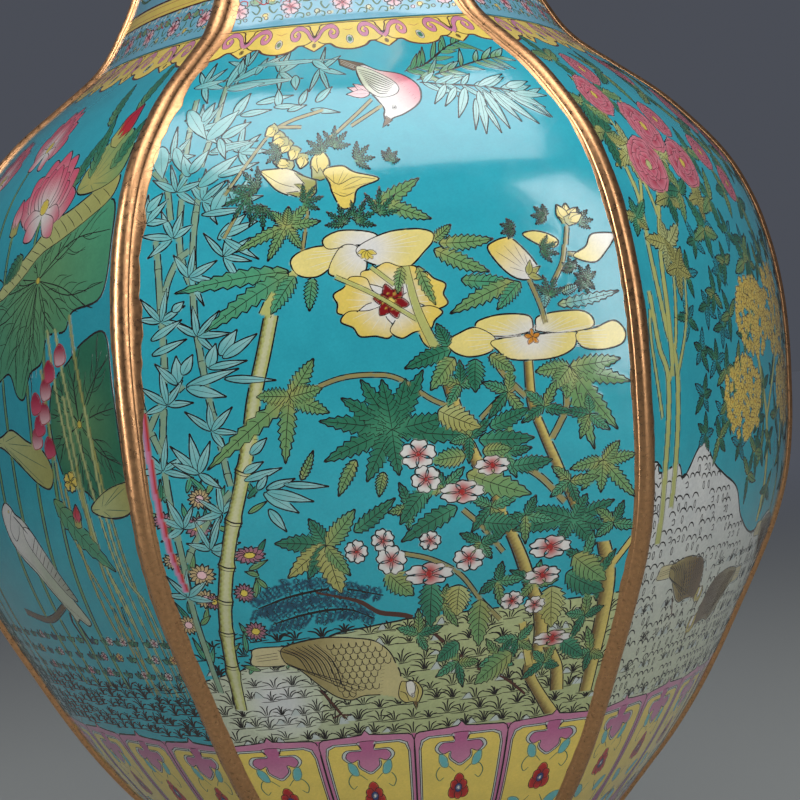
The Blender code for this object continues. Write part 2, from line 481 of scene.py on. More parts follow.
def ribbons(face, painting, spacing=0.7, height=0.00005):
    """The drawn lines of a painting as thin raised ribbons: points, faces and a slot for each face."""
    verts = []
    quads = []
    slots = []
    names = list(LINES)
    start = 0
    for points, width, ink, ends, layer in painting.strokes:
        gap = np.hypot(*np.diff(points, axis=0).T)
        points = points[np.concatenate([[True], gap > 1e-4])]
        if len(points) < 2:
            continue
        points = resampled(points, spacing)
        shown = painting.seen(points, layer)
        if not shown.any():
            continue
        count = len(points)
        share = np.linspace(0, 1, count)
        swell = ends + (1 - ends) * np.sin(np.pi * share) ** 0.5
        centre, normal = on_face(face, points[:, 0] / HALF_FACE, BELLY + points[:, 1] * MM)
        run = np.gradient(centre, axis=0)
        side = np.cross(normal, run)
        side /= np.linalg.norm(side, axis=-1, keepdims=True) + 1e-12
        half = (width * MM / 2 * swell)[:, None]
        left = centre + side * half + normal * 0.000002
        middle = centre + normal * height
        right = centre - side * half + normal * 0.000002
        verts.append(np.stack([left, middle, right], 1).reshape(-1, 3))
        linked = np.flatnonzero(shown[:-1] & shown[1:])
        a = start + linked * 3
        quads.append(np.concatenate([np.stack([a, a + 1, a + 4, a + 3], -1),
                                     np.stack([a + 1, a + 2, a + 5, a + 4], -1)]))
        slots.append(np.full(2 * len(linked), names.index(ink)))
        start += 3 * count
    return np.vstack(verts), np.vstack(quads), np.concatenate(slots)


def drop_unused(verts, quads):
    """Leaves out the points that no face uses."""
    used = np.zeros(len(verts), bool)
    used[quads.ravel()] = True
    number = np.cumsum(used) - 1
    return verts[used], number[quads]


def panel_skin(name, face, painting, bottom, top):
    """A closed panel: the painted skin outside, a plain one inside, and the edges between them."""
    rows, columns = painting.grid_x.shape
    z = BELLY + painting.z * MM
    z[0] = bottom
    z[-1] = top
    grid_z = np.repeat(z[:, None], columns, 1)
    canvas_x = painting.x[None, :] * panel_edge(z)[:, None]
    grid_share = canvas_x / HALF_FACE
    place = np.clip((canvas_x / HALF_FACE + 1) / 2 * (columns - 1), 0, columns - 1.000001)
    before = place.astype(int)
    part = place - before
    row = np.arange(rows)[:, None]
    soft = painting.relief[row, before] * (1 - part) + painting.relief[row, before + 1] * part
    colour = (painting.colour[row, before] * (1 - part)[..., None]
              + painting.colour[row, before + 1] * part[..., None])
    soft[1:-1, 1:-1] = (soft[1:-1, 1:-1] * 2 + soft[:-2, 1:-1] + soft[2:, 1:-1]
                        + soft[1:-1, :-2] + soft[1:-1, 2:]) / 6
    outer, _ = on_face(face, grid_share, grid_z, soft * MM)
    coarse = 12
    pick_rows = np.unique(np.concatenate([np.arange(0, rows, coarse), [rows - 1]]))
    pick_columns = np.unique(np.concatenate([np.arange(0, columns, coarse * 2), [columns - 1]]))
    inner, _ = on_face(face, grid_share[np.ix_(pick_rows, pick_columns)],
                       grid_z[np.ix_(pick_rows, pick_columns)], 0.0, inside=True)
    verts = np.vstack([outer.reshape(-1, 3), inner.reshape(-1, 3)])
    first = rows * columns
    outer_quads = grid_quads(rows, columns)
    inner_quads = grid_quads(len(pick_rows), len(pick_columns), start=first, flip=True)
    loose = []
    wide = len(pick_columns)
    for i in range(len(pick_rows) - 1):
        low, high = pick_rows[i], pick_rows[i + 1]
        for column, inner_column, flip in ((0, 0, False), (columns - 1, wide - 1, True)):
            face_points = [row * columns + column for row in range(low, high + 1)]
            face_points += [first + (i + 1) * wide + inner_column, first + i * wide + inner_column]
            loose.append(face_points[::-1] if flip else face_points)
    for j in range(wide - 1):
        left, right = pick_columns[j], pick_columns[j + 1]
        for row, inner_row, flip in ((0, 0, True), (rows - 1, len(pick_rows) - 1, False)):
            face_points = [row * columns + column for column in range(left, right + 1)]
            face_points += [first + inner_row * wide + j + 1, first + inner_row * wide + j]
            loose.append(face_points[::-1] if flip else face_points)
    slots = np.concatenate([np.zeros(len(outer_quads)), np.ones(len(inner_quads)),
                            np.ones(len(loose))]).astype(int)
    mesh = build_mesh(name, verts, np.vstack([outer_quads, inner_quads]), loose, slots)
    paint = np.ones((len(verts), 4), np.float32)
    paint[:first, :3] = colour.reshape(-1, 3)
    paint[first:, :3] = TURQUOISE
    layer = mesh.color_attributes.new("paint", "FLOAT_COLOR", "POINT")
    layer.data.foreach_set("color", paint.ravel())
    uv = mesh.uv_layers.new(name="OFBake")
    spot = np.zeros((len(verts), 2), np.float32)
    spot[:first, 0] = ((grid_share + 1) / 2 * 0.98 + 0.01).ravel()
    rise = (painting.grid_z - painting.low) / (painting.high - painting.low)
    spot[:first, 1] = (rise * 0.94 + 0.05).ravel()
    inner_share = grid_share[np.ix_(pick_rows, pick_columns)]
    inner_rise = (grid_z[np.ix_(pick_rows, pick_columns)] - bottom) / (top - bottom)
    spot[first:, 0] = ((inner_share + 1) / 2 * 0.98 + 0.01).ravel()
    spot[first:, 1] = (inner_rise * 0.03 + 0.005).ravel()
    corners = np.empty(len(mesh.loops), np.int32)
    mesh.loops.foreach_get("vertex_index", corners)
    uv.data.foreach_set("uv", spot[corners].ravel())
    return mesh


# ================================================================ plants

def slim_leaf(art, base, tip, width, shade=None, line=0.22, vein=True, ink="ink"):
    """A plain pointed leaf, as on bamboo, from its base to its tip."""
    base = np.array(base, float)
    tip = np.array(tip, float)
    run = tip - base
    length = math.hypot(*run)
    turn = math.degrees(math.atan2(run[1], run[0]))
    half = width / 2 / length
    outline = [(0, 0), (0.12, half * 0.65), (0.36, half), (0.65, half * 0.72), (0.88, half * 0.25), (1, 0),
               (0.88, -half * 0.25), (0.65, -half * 0.72), (0.36, -half), (0.12, -half * 0.65)]
    if shade is None:
        shade = along(base, tip, BAMBOO_LEAF, BAMBOO_LEAF_PALE)
    art.shape(turned(outline, base, turn, length), shade, line, ink)
    if vein:
        art.line([base + run * 0.04, base + run * 0.86], line * 0.55, ink, 0.3)


def leaf_fan(art, at, turn, count, length, spread, width=1.5, uneven=0.25, shade=None, line=0.22):
    """Slim leaves that spring from one point, the outer ones first."""
    order = sorted(range(count), key=lambda i: -abs(i - (count - 1) / 2))
    for i in order:
        share = (i / (count - 1) - 0.5) if count > 1 else 0.0
        angle = turn + spread * share + art.random.uniform(-6, 6)
        reach = length * (1 - uneven * art.random.random() - 0.25 * abs(share))
        slim_leaf(art, at, reached(at, angle, reach), width * art.random.uniform(0.85, 1.15), shade, line)


def stem(art, points, width, shade, line=0.22, taper=1.0, joints=(), joint_ink="ink", smooth=True):
    """A stalk of some width along a curve, with cross marks at its joints (shares of its length)."""
    path = smooth_line(points, steps=8) if smooth else np.asarray(points, float)
    run = np.gradient(path, axis=0)
    run /= np.hypot(run[:, 0], run[:, 1])[:, None]
    side = np.stack([-run[:, 1], run[:, 0]], -1)
    share = np.linspace(0, 1, len(path))
    half = (width / 2 * (1 + (taper - 1) * share))
    for joint in joints:
        half = half + width * 0.10 * np.exp(-((share - joint) / 0.012) ** 2)
    left = path + side * half[:, None]
    right = path - side * half[:, None]
    art.fill(np.vstack([left, right[::-1]]), shade, raised=0.04)
    art.line(left, line, "ink", 0.8)
    art.line(right, line, "ink", 0.8)
    for joint in joints:
        i = int(joint * (len(path) - 1))
        art.curve([left[i] * 1.04 - right[i] * 0.04, path[i] - run[i] * width * 0.12,
                   right[i] * 1.04 - left[i] * 0.04], line * 1.5, joint_ink)


def bamboo(art, points, width, joints, shade=BAMBOO_STEM, line=0.22):
    """A thin bamboo stem."""
    stem(art, points, width, shade, line, joints=joints)


def toothed_half(length, width, teeth, sharp, widest=0.38):
    """One edge of a saw-edged leaf along +x, from base to tip."""
    points = []
    for i in range(teeth):
        start = i / teeth
        end = (i + 1) / teeth
        for share, push in ((start + 0.02, 1 - sharp * 0.6), (end - 0.015, 1 + sharp * 0.15)):
            swell = math.sin(math.pi * min(1, share ** (math.log(0.5) / math.log(widest)))) ** 0.75
            points.append((share * length, max(0.0, width / 2 * swell * push)))
    return points


def saw_leaf(art, base, turn, length, width, light, dark, veins=6, teeth=7, sharp=0.45, bend=0.0, line=0.24,
             rib_ink="ink"):
    """A leaf with a saw edge, two-toned along its midrib, with forward-slanting veins."""
    upper = toothed_half(length, width, teeth, sharp)
    outline = np.array([(0, 0)] + upper + [(length, 0)] + [(x, -y) for x, y in reversed(upper)])
    spine = np.array([(x, 0) for x in np.linspace(0, length, 8)])

    def bent(points):
        points = np.array(points, float)
        points[..., 1] = points[..., 1] + bend * length * (points[..., 0] / length) ** 2
        return turned(points, base, turn)
    art.fill(bent(outline), along(bent((0, width / 2)), bent((length * 0.3, -width / 2)), light, dark))
    art.outline(bent(outline), line)
    art.line(bent(spine), line * 0.95, rib_ink, 0.4)
    for i in range(veins):
        x = length * (0.12 + 0.74 * i / veins)
        reach = width * 0.44 * math.sin(math.pi * min(0.95, (x / length) ** 0.75 + 0.12))
        for hand in (1, -1):
            art.line(bent([(x, 0), (x + reach * 0.35, hand * reach * 0.60),
                           (x + reach * 0.85, hand * reach)]),
                     line * 0.95, rib_ink, 0.35)


def little_flower(art, at, size, turn=0.0, squash=1.0, petal=WHITE, heart=RED, petals=5, line=0.22):
    """A small open flower, white to its edge and red in its heart."""
    under = [(at[0] + math.cos(a) * size * 0.55, at[1] + math.sin(a) * size * 0.55 * squash)
             for a in np.linspace(0, 5.5, 8)]
    art.fill(np.array(under), blend_colour(petal, heart, 0.5))
    for i in range(petals):
        angle = math.radians(turn + 360 * i / petals)
        spread = 180 / petals
        outline = []
        for swing, reach in ((0, 0.12), (-0.75, 0.55), (-0.95, 0.85), (-0.45, 1.05), (0, 0.95), (0.45, 1.05),
                             (0.95, 0.85), (0.75, 0.55)):
            a = angle + math.radians(spread * swing)
            outline.append((math.cos(a) * reach * size, math.sin(a) * reach * size * squash))
        outline = np.array(outline) + at
        art.shape(outline, rounded(at, size * 0.72, heart, petal, 0.10), line)
    for i in range(petals * 2):
        angle = math.radians(turn + 18 + 360 * i / (petals * 2))
        reach = size * (0.48 if i % 2 else 0.34)
        art.line([(at[0], at[1]), (at[0] + math.cos(angle) * reach,
                                   at[1] + math.sin(angle) * reach * squash)],
                 line * 0.8, "rose", 0.3)
    art.shape(turned([(0.16, 0), (0, 0.16), (-0.16, 0), (0, -0.16)], at, 0, size), heart * 0.8, line * 0.6)


def petal_lines(art, base, outline, count=7, line=0.10, ink="brown", start=0.25, end=0.85):
    """Fine lines that fan out over a petal from its base."""
    outline = np.asarray(outline, float)
    base = np.array(base, float)
    for i in range(count):
        edge = outline[int(i * len(outline) / count)]
        art.line([base + (edge - base) * start, base + (edge - base) * end], line, ink, 0.3)


def bud(art, base, turn, length, width, light=CREAM, dark=LEMON, cup=LEAF_OLIVE):
    """A closed bud with a cupped base."""
    half = width / 2
    outline = [(0, 0), (length * 0.2, half * 0.85), (length * 0.55, half), (length * 0.85, half * 0.45),
               (length, 0), (length * 0.85, -half * 0.45), (length * 0.55, -half),
               (length * 0.2, -half * 0.85)]
    art.shape(turned(outline, base, turn), along(base, turned((length, 0), base, turn), dark, light), 0.26)
    art.curve(turned([(length, 0), (length * 0.6, half * 0.35), (length * 0.25, half * 0.2)], base, turn),
              0.18)
    cup_outline = [(-length * 0.08, 0), (0, half * 0.9), (length * 0.42, half * 0.9),
                   (length * 0.16, half * 0.3), (length * 0.34, 0), (length * 0.16, -half * 0.3),
                   (length * 0.42, -half * 0.9), (0, -half * 0.9)]
    art.shape(turned(cup_outline, base, turn), cup, 0.24, smooth=False)


def aster(art, at, size, heart=ASTER, petal=ASTER, petals=14, squash=0.8):
    """A daisy head: a ring of narrow petals round a small disc."""
    for i in range(petals):
        angle = 2 * math.pi * i / petals
        tip = (at[0] + math.cos(angle) * size, at[1] + math.sin(angle) * size * squash)
        start = (at[0] + math.cos(angle) * size * 0.3, at[1] + math.sin(angle) * size * 0.3 * squash)
        slim_leaf(art, start, tip, size * 0.34, petal, 0.20, vein=False)
    disc = turned([(math.cos(a) * 0.36, math.sin(a) * 0.36 * squash) for a in np.linspace(0, 5.4, 7)], at, 0,
                  size)
    art.shape(disc, heart * 1.1, 0.2)


def tuft(art, at, size, blades=5, lean=0.0, ink="ink"):
    """A small tuft of grass."""
    for i in range(blades):
        share = i / (blades - 1) - 0.5 if blades > 1 else 0.0
        tip_x = size * (share * 1.9 + lean)
        rise = size * (0.95 - abs(share) * 0.9) * art.random.uniform(0.8, 1.15)
        start = at[0] + share * size * 0.25
        art.curve([(start, at[1]), (start + tip_x * 0.35, at[1] + rise * 0.72),
                   (start + tip_x, at[1] + rise)],
                  0.24, ink, 0.3, steps=4)


def grass_rows(art, left, right, low, high, step=2.7, gap=4.2, size=1.35, wander=0.5, mounds=0.75):
    """Rows of tufts on low hummocks, the lower rows in front."""
    z = high
    shift = 0.0
    while z > low:
        x = left + shift
        while x < right:
            at = (x + art.random.uniform(-0.5, 0.5), z + art.random.uniform(-wander, wander) * 0.4)
            if x > left:
                tuft(art, at, size * art.random.uniform(0.8, 1.25), int(art.random.integers(4, 7)),
                     art.random.uniform(-0.35, 0.35))
                reach = art.random.uniform(1.6, 3.6)
                art.curve([(at[0] - reach, at[1] - 0.1), (at[0], at[1] - 0.15), (at[0] + reach, at[1] + 0.1)],
                          0.18, "ink", 0.3, steps=3)
                mound = art.random.uniform(0.8, 1.4)
                for side in (1, -1):
                    if art.random.random() < mounds:
                        start = at[0] + side * 0.6
                        far = at[0] + side * art.random.uniform(2.2, 3.2)
                        bow = [(start, at[1]), ((start + far) / 2 - side * 0.3, at[1] + mound), (far, at[1])]
                        art.fill(smooth_line(bow, steps=4), PALE_LINE, raised=0.03)
                        art.curve(bow, 0.18, "ink", 0.3, steps=4)
            x += gap * art.random.uniform(0.8, 1.2)
        z -= step
        shift = gap / 2 - shift


def trunk(art, left, right, light=BARK_LIGHT, dark=BARK, marks=26, line=0.26):
    """A trunk between two drawn edges, dark along the left one and dashed with bark."""
    left = smooth_line(left, steps=8)
    right = smooth_line(right, steps=8)
    count = min(len(left), len(right))
    left = left[np.linspace(0, len(left) - 1, count).astype(int)]
    right = right[np.linspace(0, len(right) - 1, count).astype(int)]
    bands = 7
    for band in range(bands):
        near = band / bands
        far = (band + 1) / bands + 0.02
        share = min(1.0, band / (bands * 0.62))
        tone = blend_colour(dark, light, share ** 1.3)
        inner = left + (right - left) * near
        outer = left + (right - left) * min(far, 1.0)
        art.fill(np.vstack([inner, outer[::-1]]), tone, mottle=0.10)
    art.line(left, line, "ink", 0.9)
    art.line(right, line, "ink", 0.9)
    for i in range(marks):
        at = (i + 0.5) / marks * (count - 1)
        k = int(at)
        start = left[k] + (right[k] - left[k]) * art.random.uniform(0.0, 0.12)
        end = left[k] + (right[k] - left[k]) * art.random.uniform(0.18, 0.4)
        art.line([start, end + [0, -0.15]], 0.13, "ink", 0.3)


def curly_fern(art, path, reach, count=22):
    """A plume of small dark curls along a curved stalk."""
    line = smooth_line(path, steps=10)
    for i in range(count):
        share = (i + 0.5) / count
        k = int(share * (len(line) - 1))
        for hand in (1, -1):
            spray = reach * (0.45 + 0.55 * math.sin(math.pi * min(1, share + 0.15)))
            lean = art.random.uniform(-0.9, -0.2)
            tip = line[k] + [lean * spray, hand * spray * art.random.uniform(0.7, 1.0)]
            art.curve([line[k], (line[k] + tip) / 2 + [0.3, 0.1], tip], 0.17, "ink", 0.4, steps=3)
            for rung in (0.3, 0.5, 0.7, 0.9, 1.05):
                centre = line[k] + (tip - line[k]) * rung
                for side in (0.45, -0.45):
                    dot(art, (centre[0] + side, centre[1] + 0.1), 0.30, FERN)
                turn = art.random.uniform(0, 6.3)
                curl = [centre + 0.5 * (0.4 + 0.6 * t) * np.array([math.cos(turn + 4.2 * t),
                                                                  math.sin(turn + 4.2 * t)])
                        for t in np.linspace(0, 1, 5)]
                art.line(curl, 0.15, "ink", 0.4)
    art.curve(path, 0.34, "ink", 0.5)


def long_leaf(art, base, tip, width, light=LEAF_MID, dark=LEAF_DARK, bend=0.08, teeth=7, sharp=0.35):
    """A saw-edged leaf from its base to its tip."""
    run = np.array(tip, float) - base
    saw_leaf(art, base, math.degrees(math.atan2(run[1], run[0])) - math.degrees(bend), math.hypot(*run),
             width, light, dark, bend=bend, teeth=teeth, sharp=sharp, line=0.23)


def finger_leaf(art, at, tips, width, light, dark, sharp=0.5):
    """Saw-edged fingers from one point, the longest drawn first."""
    for tip in sorted(tips, key=lambda tip: -math.hypot(tip[0] - at[0], tip[1] - at[1])):
        long_leaf(art, at, tip, width, light, dark, 0.05, 9, sharp)


def leaf_spray(art, x, z, turn, reach):
    """Four small dark saw-edged leaves from one point."""
    for k in range(4):
        tip = reached((x, z), turn + 38 * (k - 1.5), reach * (1 - 0.12 * abs(k - 1.5)))
        long_leaf(art, (x, z), tip, 1.25, LEAF_MID, PINE, teeth=6, sharp=0.9)


def leafy_twig(art, path, count, length, width, dark, light):
    """A thin twig with narrow leaves in pairs along it."""
    line = smooth_line(path, steps=8)
    for i in range(count):
        k = int((i + 0.5) / count * (len(line) - 2))
        run = line[k + 1] - line[k]
        heading = math.degrees(math.atan2(run[1], run[0]))
        for hand in (1, -1):
            angle = heading + hand * art.random.uniform(12, 42)
            tip = reached(line[k], angle, length * art.random.uniform(0.7, 1.15))
            slim_leaf(art, line[k], tip, width, along(line[k], tip, dark, light), 0.18)
    art.curve(path, 0.4, "ink", 0.5)


def thick_cane(art, points, width, joints):
    """A thick yellow-green cane: pale down the middle, darker and stippled on its left."""
    path = smooth_line(points, steps=8)
    run = np.gradient(path, axis=0)
    run /= np.hypot(run[:, 0], run[:, 1])[:, None]
    side = np.stack([-run[:, 1], run[:, 0]], -1)
    if side[:, 0].mean() > 0:
        side = -side
    half = np.full(len(path), width / 2)
    share = np.linspace(0, 1, len(path))
    for joint in joints:
        half += width * 0.12 * np.exp(-((share - joint) / 0.010) ** 2)
    for near, far, tone in ((-1, -0.45, CANE), (-0.5, 0.35, blend_colour(CANE, YELLOW_PALE, 0.35)),
                            (0.3, 0.72, CANE), (0.68, 1, CANE_SHADE)):
        art.fill(np.vstack([path + side * (half * near)[:, None],
                            (path + side * (half * far)[:, None])[::-1]]), tone)
    for hand in (1, -1):
        art.line(path + side * (half * hand)[:, None], 0.26, "ink", 0.9)
    for joint in joints:
        i = int(joint * (len(path) - 1))
        over = half[i] * 1.15
        art.curve([path[i] + side[i] * over, path[i] + run[i] * 0.35, path[i] - side[i] * over], 0.42, "ink")
        art.curve([path[i] + side[i] * over + run[i] * 0.6, path[i] + run[i] * 0.9,
                   path[i] - side[i] * over + run[i] * 0.6], 0.18, "ink")
    for i in range(2, int(len(path) * 0.5), 2):
        spot = path[i] + side[i] * half[i] * art.random.uniform(0.35, 0.85)
        art.line([spot, spot + run[i] * 0.7], 0.16, "brown", 0.4)


# ================================================================ blossoms, birds and borders

def petal(art, outline, heart, inner=ROSE_PALE, outer=WHITE, reach=None, lines=9, line=0.26, ink="ink",
          fine="rose"):
    """A petal that pales away from its heart, with fine lines."""
    outline = np.asarray(outline, float)
    far = max(np.hypot(*(outline - heart).T)) if reach is None else reach
    art.shape(outline, rounded(heart, far * 0.9, inner, outer, 0.15), line, ink)
    petal_lines(art, heart, smooth_line(outline, closed=True, steps=4), lines, 0.12, fine, 0.2, 0.8)


def many_petals(art, at, size, turn=0.0, count=6, squash=1.0, inner=ROSE_PALE, outer=WHITE, heart=YELLOW,
                edge_ink="ink", lines=7):
    """A big open blossom of overlapping round petals with scalloped edges."""
    for i in range(count):
        angle = turn + 360 * i / count
        wide = 150 / count
        outline = []
        for swing, reach in ((-0.2, 0.1), (-0.85, 0.45), (-1.1, 0.8), (-0.75, 1.02), (-0.35, 0.96), (0, 1.06),
                             (0.35, 0.96), (0.75, 1.02), (1.1, 0.8), (0.85, 0.45), (0.2, 0.1)):
            a = math.radians(angle + wide * swing)
            outline.append((at[0] + math.cos(a) * reach * size, at[1] + math.sin(a) * reach * size * squash))
        petal(art, outline, at, inner, outer, size * 1.1, lines, ink=edge_ink)
    disc = [(at[0] + math.cos(a) * size * 0.16, at[1] + math.sin(a) * size * 0.16 * squash)
            for a in np.linspace(0, 5.5, 8)]
    art.shape(disc, heart, 0.22)
    for a in np.linspace(0, 5.9, 9):
        spot = (at[0] + math.cos(a) * size * 0.27, at[1] + math.sin(a) * size * 0.27 * squash)
        art.line([at, spot], 0.10, "brown", 0.5)
        dot(art, spot, size * 0.045 + 0.08, YELLOW)


def dot(art, at, radius, shade, line=0.0, ink="ink"):
    """A small round spot."""
    ring = [(at[0] + math.cos(a) * radius, at[1] + math.sin(a) * radius)
            for a in np.linspace(0, 2 * math.pi, 9)[:-1]]
    art.fill(np.array(ring), shade, mottle=0.0)
    if line:
        art.outline(np.array(ring), line, ink)


def within(outline):
    """A test for points inside an outline."""
    starts = np.asarray(outline, float)
    ends = np.roll(starts, -1, 0)

    def test(x, z):
        crosses = (starts[:, 1] <= z) != (ends[:, 1] <= z)
        a, b = starts[crosses], ends[crosses]
        at = a[:, 0] + (z - a[:, 1]) * (b[:, 0] - a[:, 0]) / (b[:, 1] - a[:, 1])
        return int((at > x).sum()) % 2 == 1
    return test


def quail(art, at=(0.0, 0.0), size=1.0, flip=False, back=QUAIL_PALE):
    """A round brown ground bird, head down and feeding."""
    def put(points):
        points = np.array(points, float)
        if flip:
            points[..., 0] = -points[..., 0]
        return points * size + at
    leg = put([(-18.8, -46.8), (-17.4, -49), (-15.5, -51.8)])
    art.line(leg, 0.55 * size, "brown", 0.8)
    for tip in ((-13.4, -52.2), (-14.4, -52.9), (-17.6, -52.4)):
        art.line(np.vstack([leg[-1:], put([tip])]), 0.4 * size, "brown", 0.5)
    tail = put([(-30.6, -39.4), (-29.6, -38.2), (-24, -38.2), (-20, -38.4), (-22, -41.4), (-30.6, -41.4)])
    art.shape(tail, blend_colour(QUAIL, WHITE, 0.25), 0.24 * size)
    for k in range(3):
        art.line(put([(-30.0, -39.6 - 0.5 * k), (-22, -39.0 - 0.6 * k)]), 0.15 * size, "ink", 0.6)
    body = put([(-24.6, -38.6), (-20, -37.5), (-15, -37.2), (-10, -37.8), (-6.5, -38.6), (-4, -40.6),
                (-2.8, -43), (-2, -45.6), (-3.4, -48.7), (-6, -48.7), (-10, -48.6), (-13, -49.2),
                (-16, -48.2), (-19, -45.8), (-22, -42.8), (-24.5, -41.2)])
    art.shape(body, rounded(put([(-6, -42)])[0], 17 * size, back, QUAIL_SHADE, 0.1), 0.30 * size)
    throat = put([(-5.8, -43.2), (-3, -42.6), (-2.2, -45.2), (-0.6, -47.2), (-2.0, -50.0), (-4.0, -49.2),
                  (-6.4, -48.6), (-6.8, -46)])
    art.fill(smooth_line(throat, closed=True), back)
    inner = within(body)
    collar = within(smooth_line(throat, closed=True))
    step = 1.45 * size
    hand = -1 if flip else 1
    for row in range(9):
        for column in range(10):
            at_scale = put([(-15.2 + 1.45 * column + 0.7 * (row % 2), -38.6 - 1.15 * row)])[0]
            if inner(*at_scale) and inner(*(at_scale + [0, -0.7 * step])) and not collar(*at_scale):
                arc = [at_scale + step * np.array([hand * x, z])
                       for x, z in ((-0.5, 0.1), (-0.38, -0.45), (0, -0.62), (0.38, -0.45), (0.5, 0.1))]
                art.line(arc, 0.27 * size, "ink", 0.7)
    for i in range(10):
        start = put([(-25.4 + 1.2 * i, -38.8 + 0.10 * i)])[0]
        end = put([(-20.4 + 1.05 * i, -43.4 - 0.55 * i)])[0]
        bow = (start + end) / 2 + np.array([1.0 * hand, 0.7]) * size
        if i < 7:
            art.curve([start, bow, end], 0.36 * size, "ink", 0.5)
            art.curve([start + [0.45 * hand * size, 0], bow + [0.45 * hand * size, 0.1],
                       end + [0.4 * hand * size, 0]],
                      0.14 * size, "brown", 0.4)
    for k in range(3):
        art.curve(put([(-24.4 + k, -41.2 - 0.6 * k), (-18 + k, -44.8), (-11.5 + k, -48.2 + 0.5 * k)]),
                  0.26 * size, "ink", 0.5)
    for k in range(8):
        start = put([(-6.9 + 0.15 * k, -48.2 + 0.68 * k)])[0]
        art.line([start, start + np.array([0.9 * hand, 0.15]) * size], 0.16 * size, "ink", 0.4)
    head = put([(-1.9, -46.6), (-0.9, -46.7), (0.9, -46.7), (2.3, -48.2), (2.2, -49.6), (1.0, -51.2),
                (0.2, -50.6), (-1.4, -50.6), (-2.6, -49.6), (-2.6, -48.2)])
    art.shape(head, QUAIL, 0.28 * size)
    art.shape(put([(-0.9, -46.8), (0.5, -46.8), (0.9, -48.2), (0.2, -49.6), (-0.8, -48.8)]), YELLOW_PALE,
              0.24 * size)
    art.curve(put([(-2.4, -48.4), (-1.2, -48.9), (-0.6, -50.4)]), 0.26 * size, "ink", 0.5)
    art.curve(put([(0.9, -47.0), (1.5, -48.6), (1.0, -50.4)]), 0.24 * size, "ink", 0.5)
    eye = put([(0.3, -49.4)])[0]
    dot(art, eye, 0.42 * size, YELLOW_PALE, 0.16 * size)
    dot(art, eye, 0.22 * size, INK)
    art.shape(put([(0.3, -50.8), (0.9, -52.2), (1.3, -51.0), (1.0, -50.4)]), BARK, 0.2 * size, smooth=False)


def perched_bird(art, at=(0.0, 0.0), size=1.0, back=ROSE, belly=WHITE, flip=False):
    """A small songbird that leans down from a twig, long tail behind."""
    def put(points):
        points = np.array(points, float)
        if flip:
            points[..., 0] = 2 * 6 - points[..., 0]
        return points * size + at
    tail = put([(-3.2, 63.8), (-3.0, 62.4), (2.0, 60.2), (4.2, 59.0), (5.6, 60.6), (2.5, 62.4)])
    art.shape(tail, along(put([(-3, 63)])[0], put([(5, 60)])[0], BARK, INK_BROWN), 0.24 * size, smooth=False)
    for k in range(3):
        art.line(put([(-2.8, 62.8 + 0.35 * k), (4.2, 59.7 + 0.4 * k)]), 0.14 * size, "pale", 0.4)
    body = put([(1.2, 61.3), (3, 61.9), (6, 60.6), (11, 59.4), (13.8, 57), (13.6, 54.5), (12, 52.9),
                (9, 51.5), (6.5, 50.8), (5.2, 49.5), (5, 51.5), (5.3, 52.8), (4, 55), (2, 57.5)])
    art.shape(body, along(put([(13.8, 58.6)])[0], put([(6.6, 53.6)])[0], back, belly), 0.28 * size)
    wing = put([(0.8, 61.6), (3.5, 61.2), (8, 58.7), (9.5, 56.8), (8.2, 55.4), (4.6, 55.2), (1.8, 57.6)])
    art.shape(wing, along(put([(1, 60)])[0], put([(9, 56.5)])[0], GRASS_PALE, belly), 0.28 * size)
    for k in range(8):
        share = k / 8
        art.curve(put([(1.1 + 0.25 * k, 61.2 - 0.48 * k), (4.8, 59.9 - 0.56 * k),
                       (8.8 - 0.30 * k, 57.6 - 0.26 * k)]),
                  0.30 * size, "ink", 0.5)
        art.line(put([(9.4 + share * 3, 58.6 - share * 5), (10.3 + share * 2.6, 58.9 - share * 5)]),
                 0.13 * size, "rose", 0.4)
    eye = put([(7.4, 52.9)])[0]
    dot(art, eye, 0.45 * size, WHITE, 0.12 * size)
    dot(art, eye, 0.22 * size, INK)
    art.shape(put([(5.3, 51.4), (4.2, 49.2), (6.4, 50.4)]), BARK, 0.16 * size, smooth=False)


def hibiscus_open(art, at, size, turn=0.0, squash=0.9, inner=RED, count=5, stripes=9):
    """A face-on rose-mallow: five broad petals, striped, dark in the middle."""
    under = [(at[0] + math.cos(a) * size * 0.6, at[1] + math.sin(a) * size * 0.6 * squash)
             for a in np.linspace(0, 5.6, 9)]
    art.fill(np.array(under), inner)
    for i in range(count):
        angle = turn + 360 * i / count
        outline = []
        for swing, reach in ((0, 0.08), (-26, 0.45), (-38, 0.78), (-26, 1.0), (-10, 0.93), (4, 1.04),
                             (18, 0.94), (33, 0.96), (40, 0.7), (22, 0.4)):
            a = math.radians(angle + swing)
            outline.append((at[0] + math.cos(a) * reach * size, at[1] + math.sin(a) * reach * size * squash))
        petal(art, outline, at, inner, YELLOW, size * 0.85, stripes, fine="white")
    for i in range(6):
        star = turned([(0, 0), (0.16, 0.10), (0.32, 0), (0.16, -0.10)], at, turn + 30 + 60 * i, size)
        art.shape(star, RED_DEEP, 0.2)
    for a in np.linspace(0.4, 6.2, 9):
        dot(art, (at[0] + math.cos(a) * size * 0.16, at[1] + math.sin(a) * size * 0.14), 0.16, LEMON)
    dot(art, at, size * 0.07, YELLOW, 0.12)


def band(art, low, high, shade, **more):
    """A plain band right across a body panel."""
    art.fill(np.array([(-ACROSS, low), (ACROSS, low), (ACROSS, high), (-ACROSS, high)]), shade, **more)


def ruled(art, z, width):
    """A brown line right across a body panel."""
    art.line([(-ACROSS, z), (ACROSS, z)], width, "brown", 1)


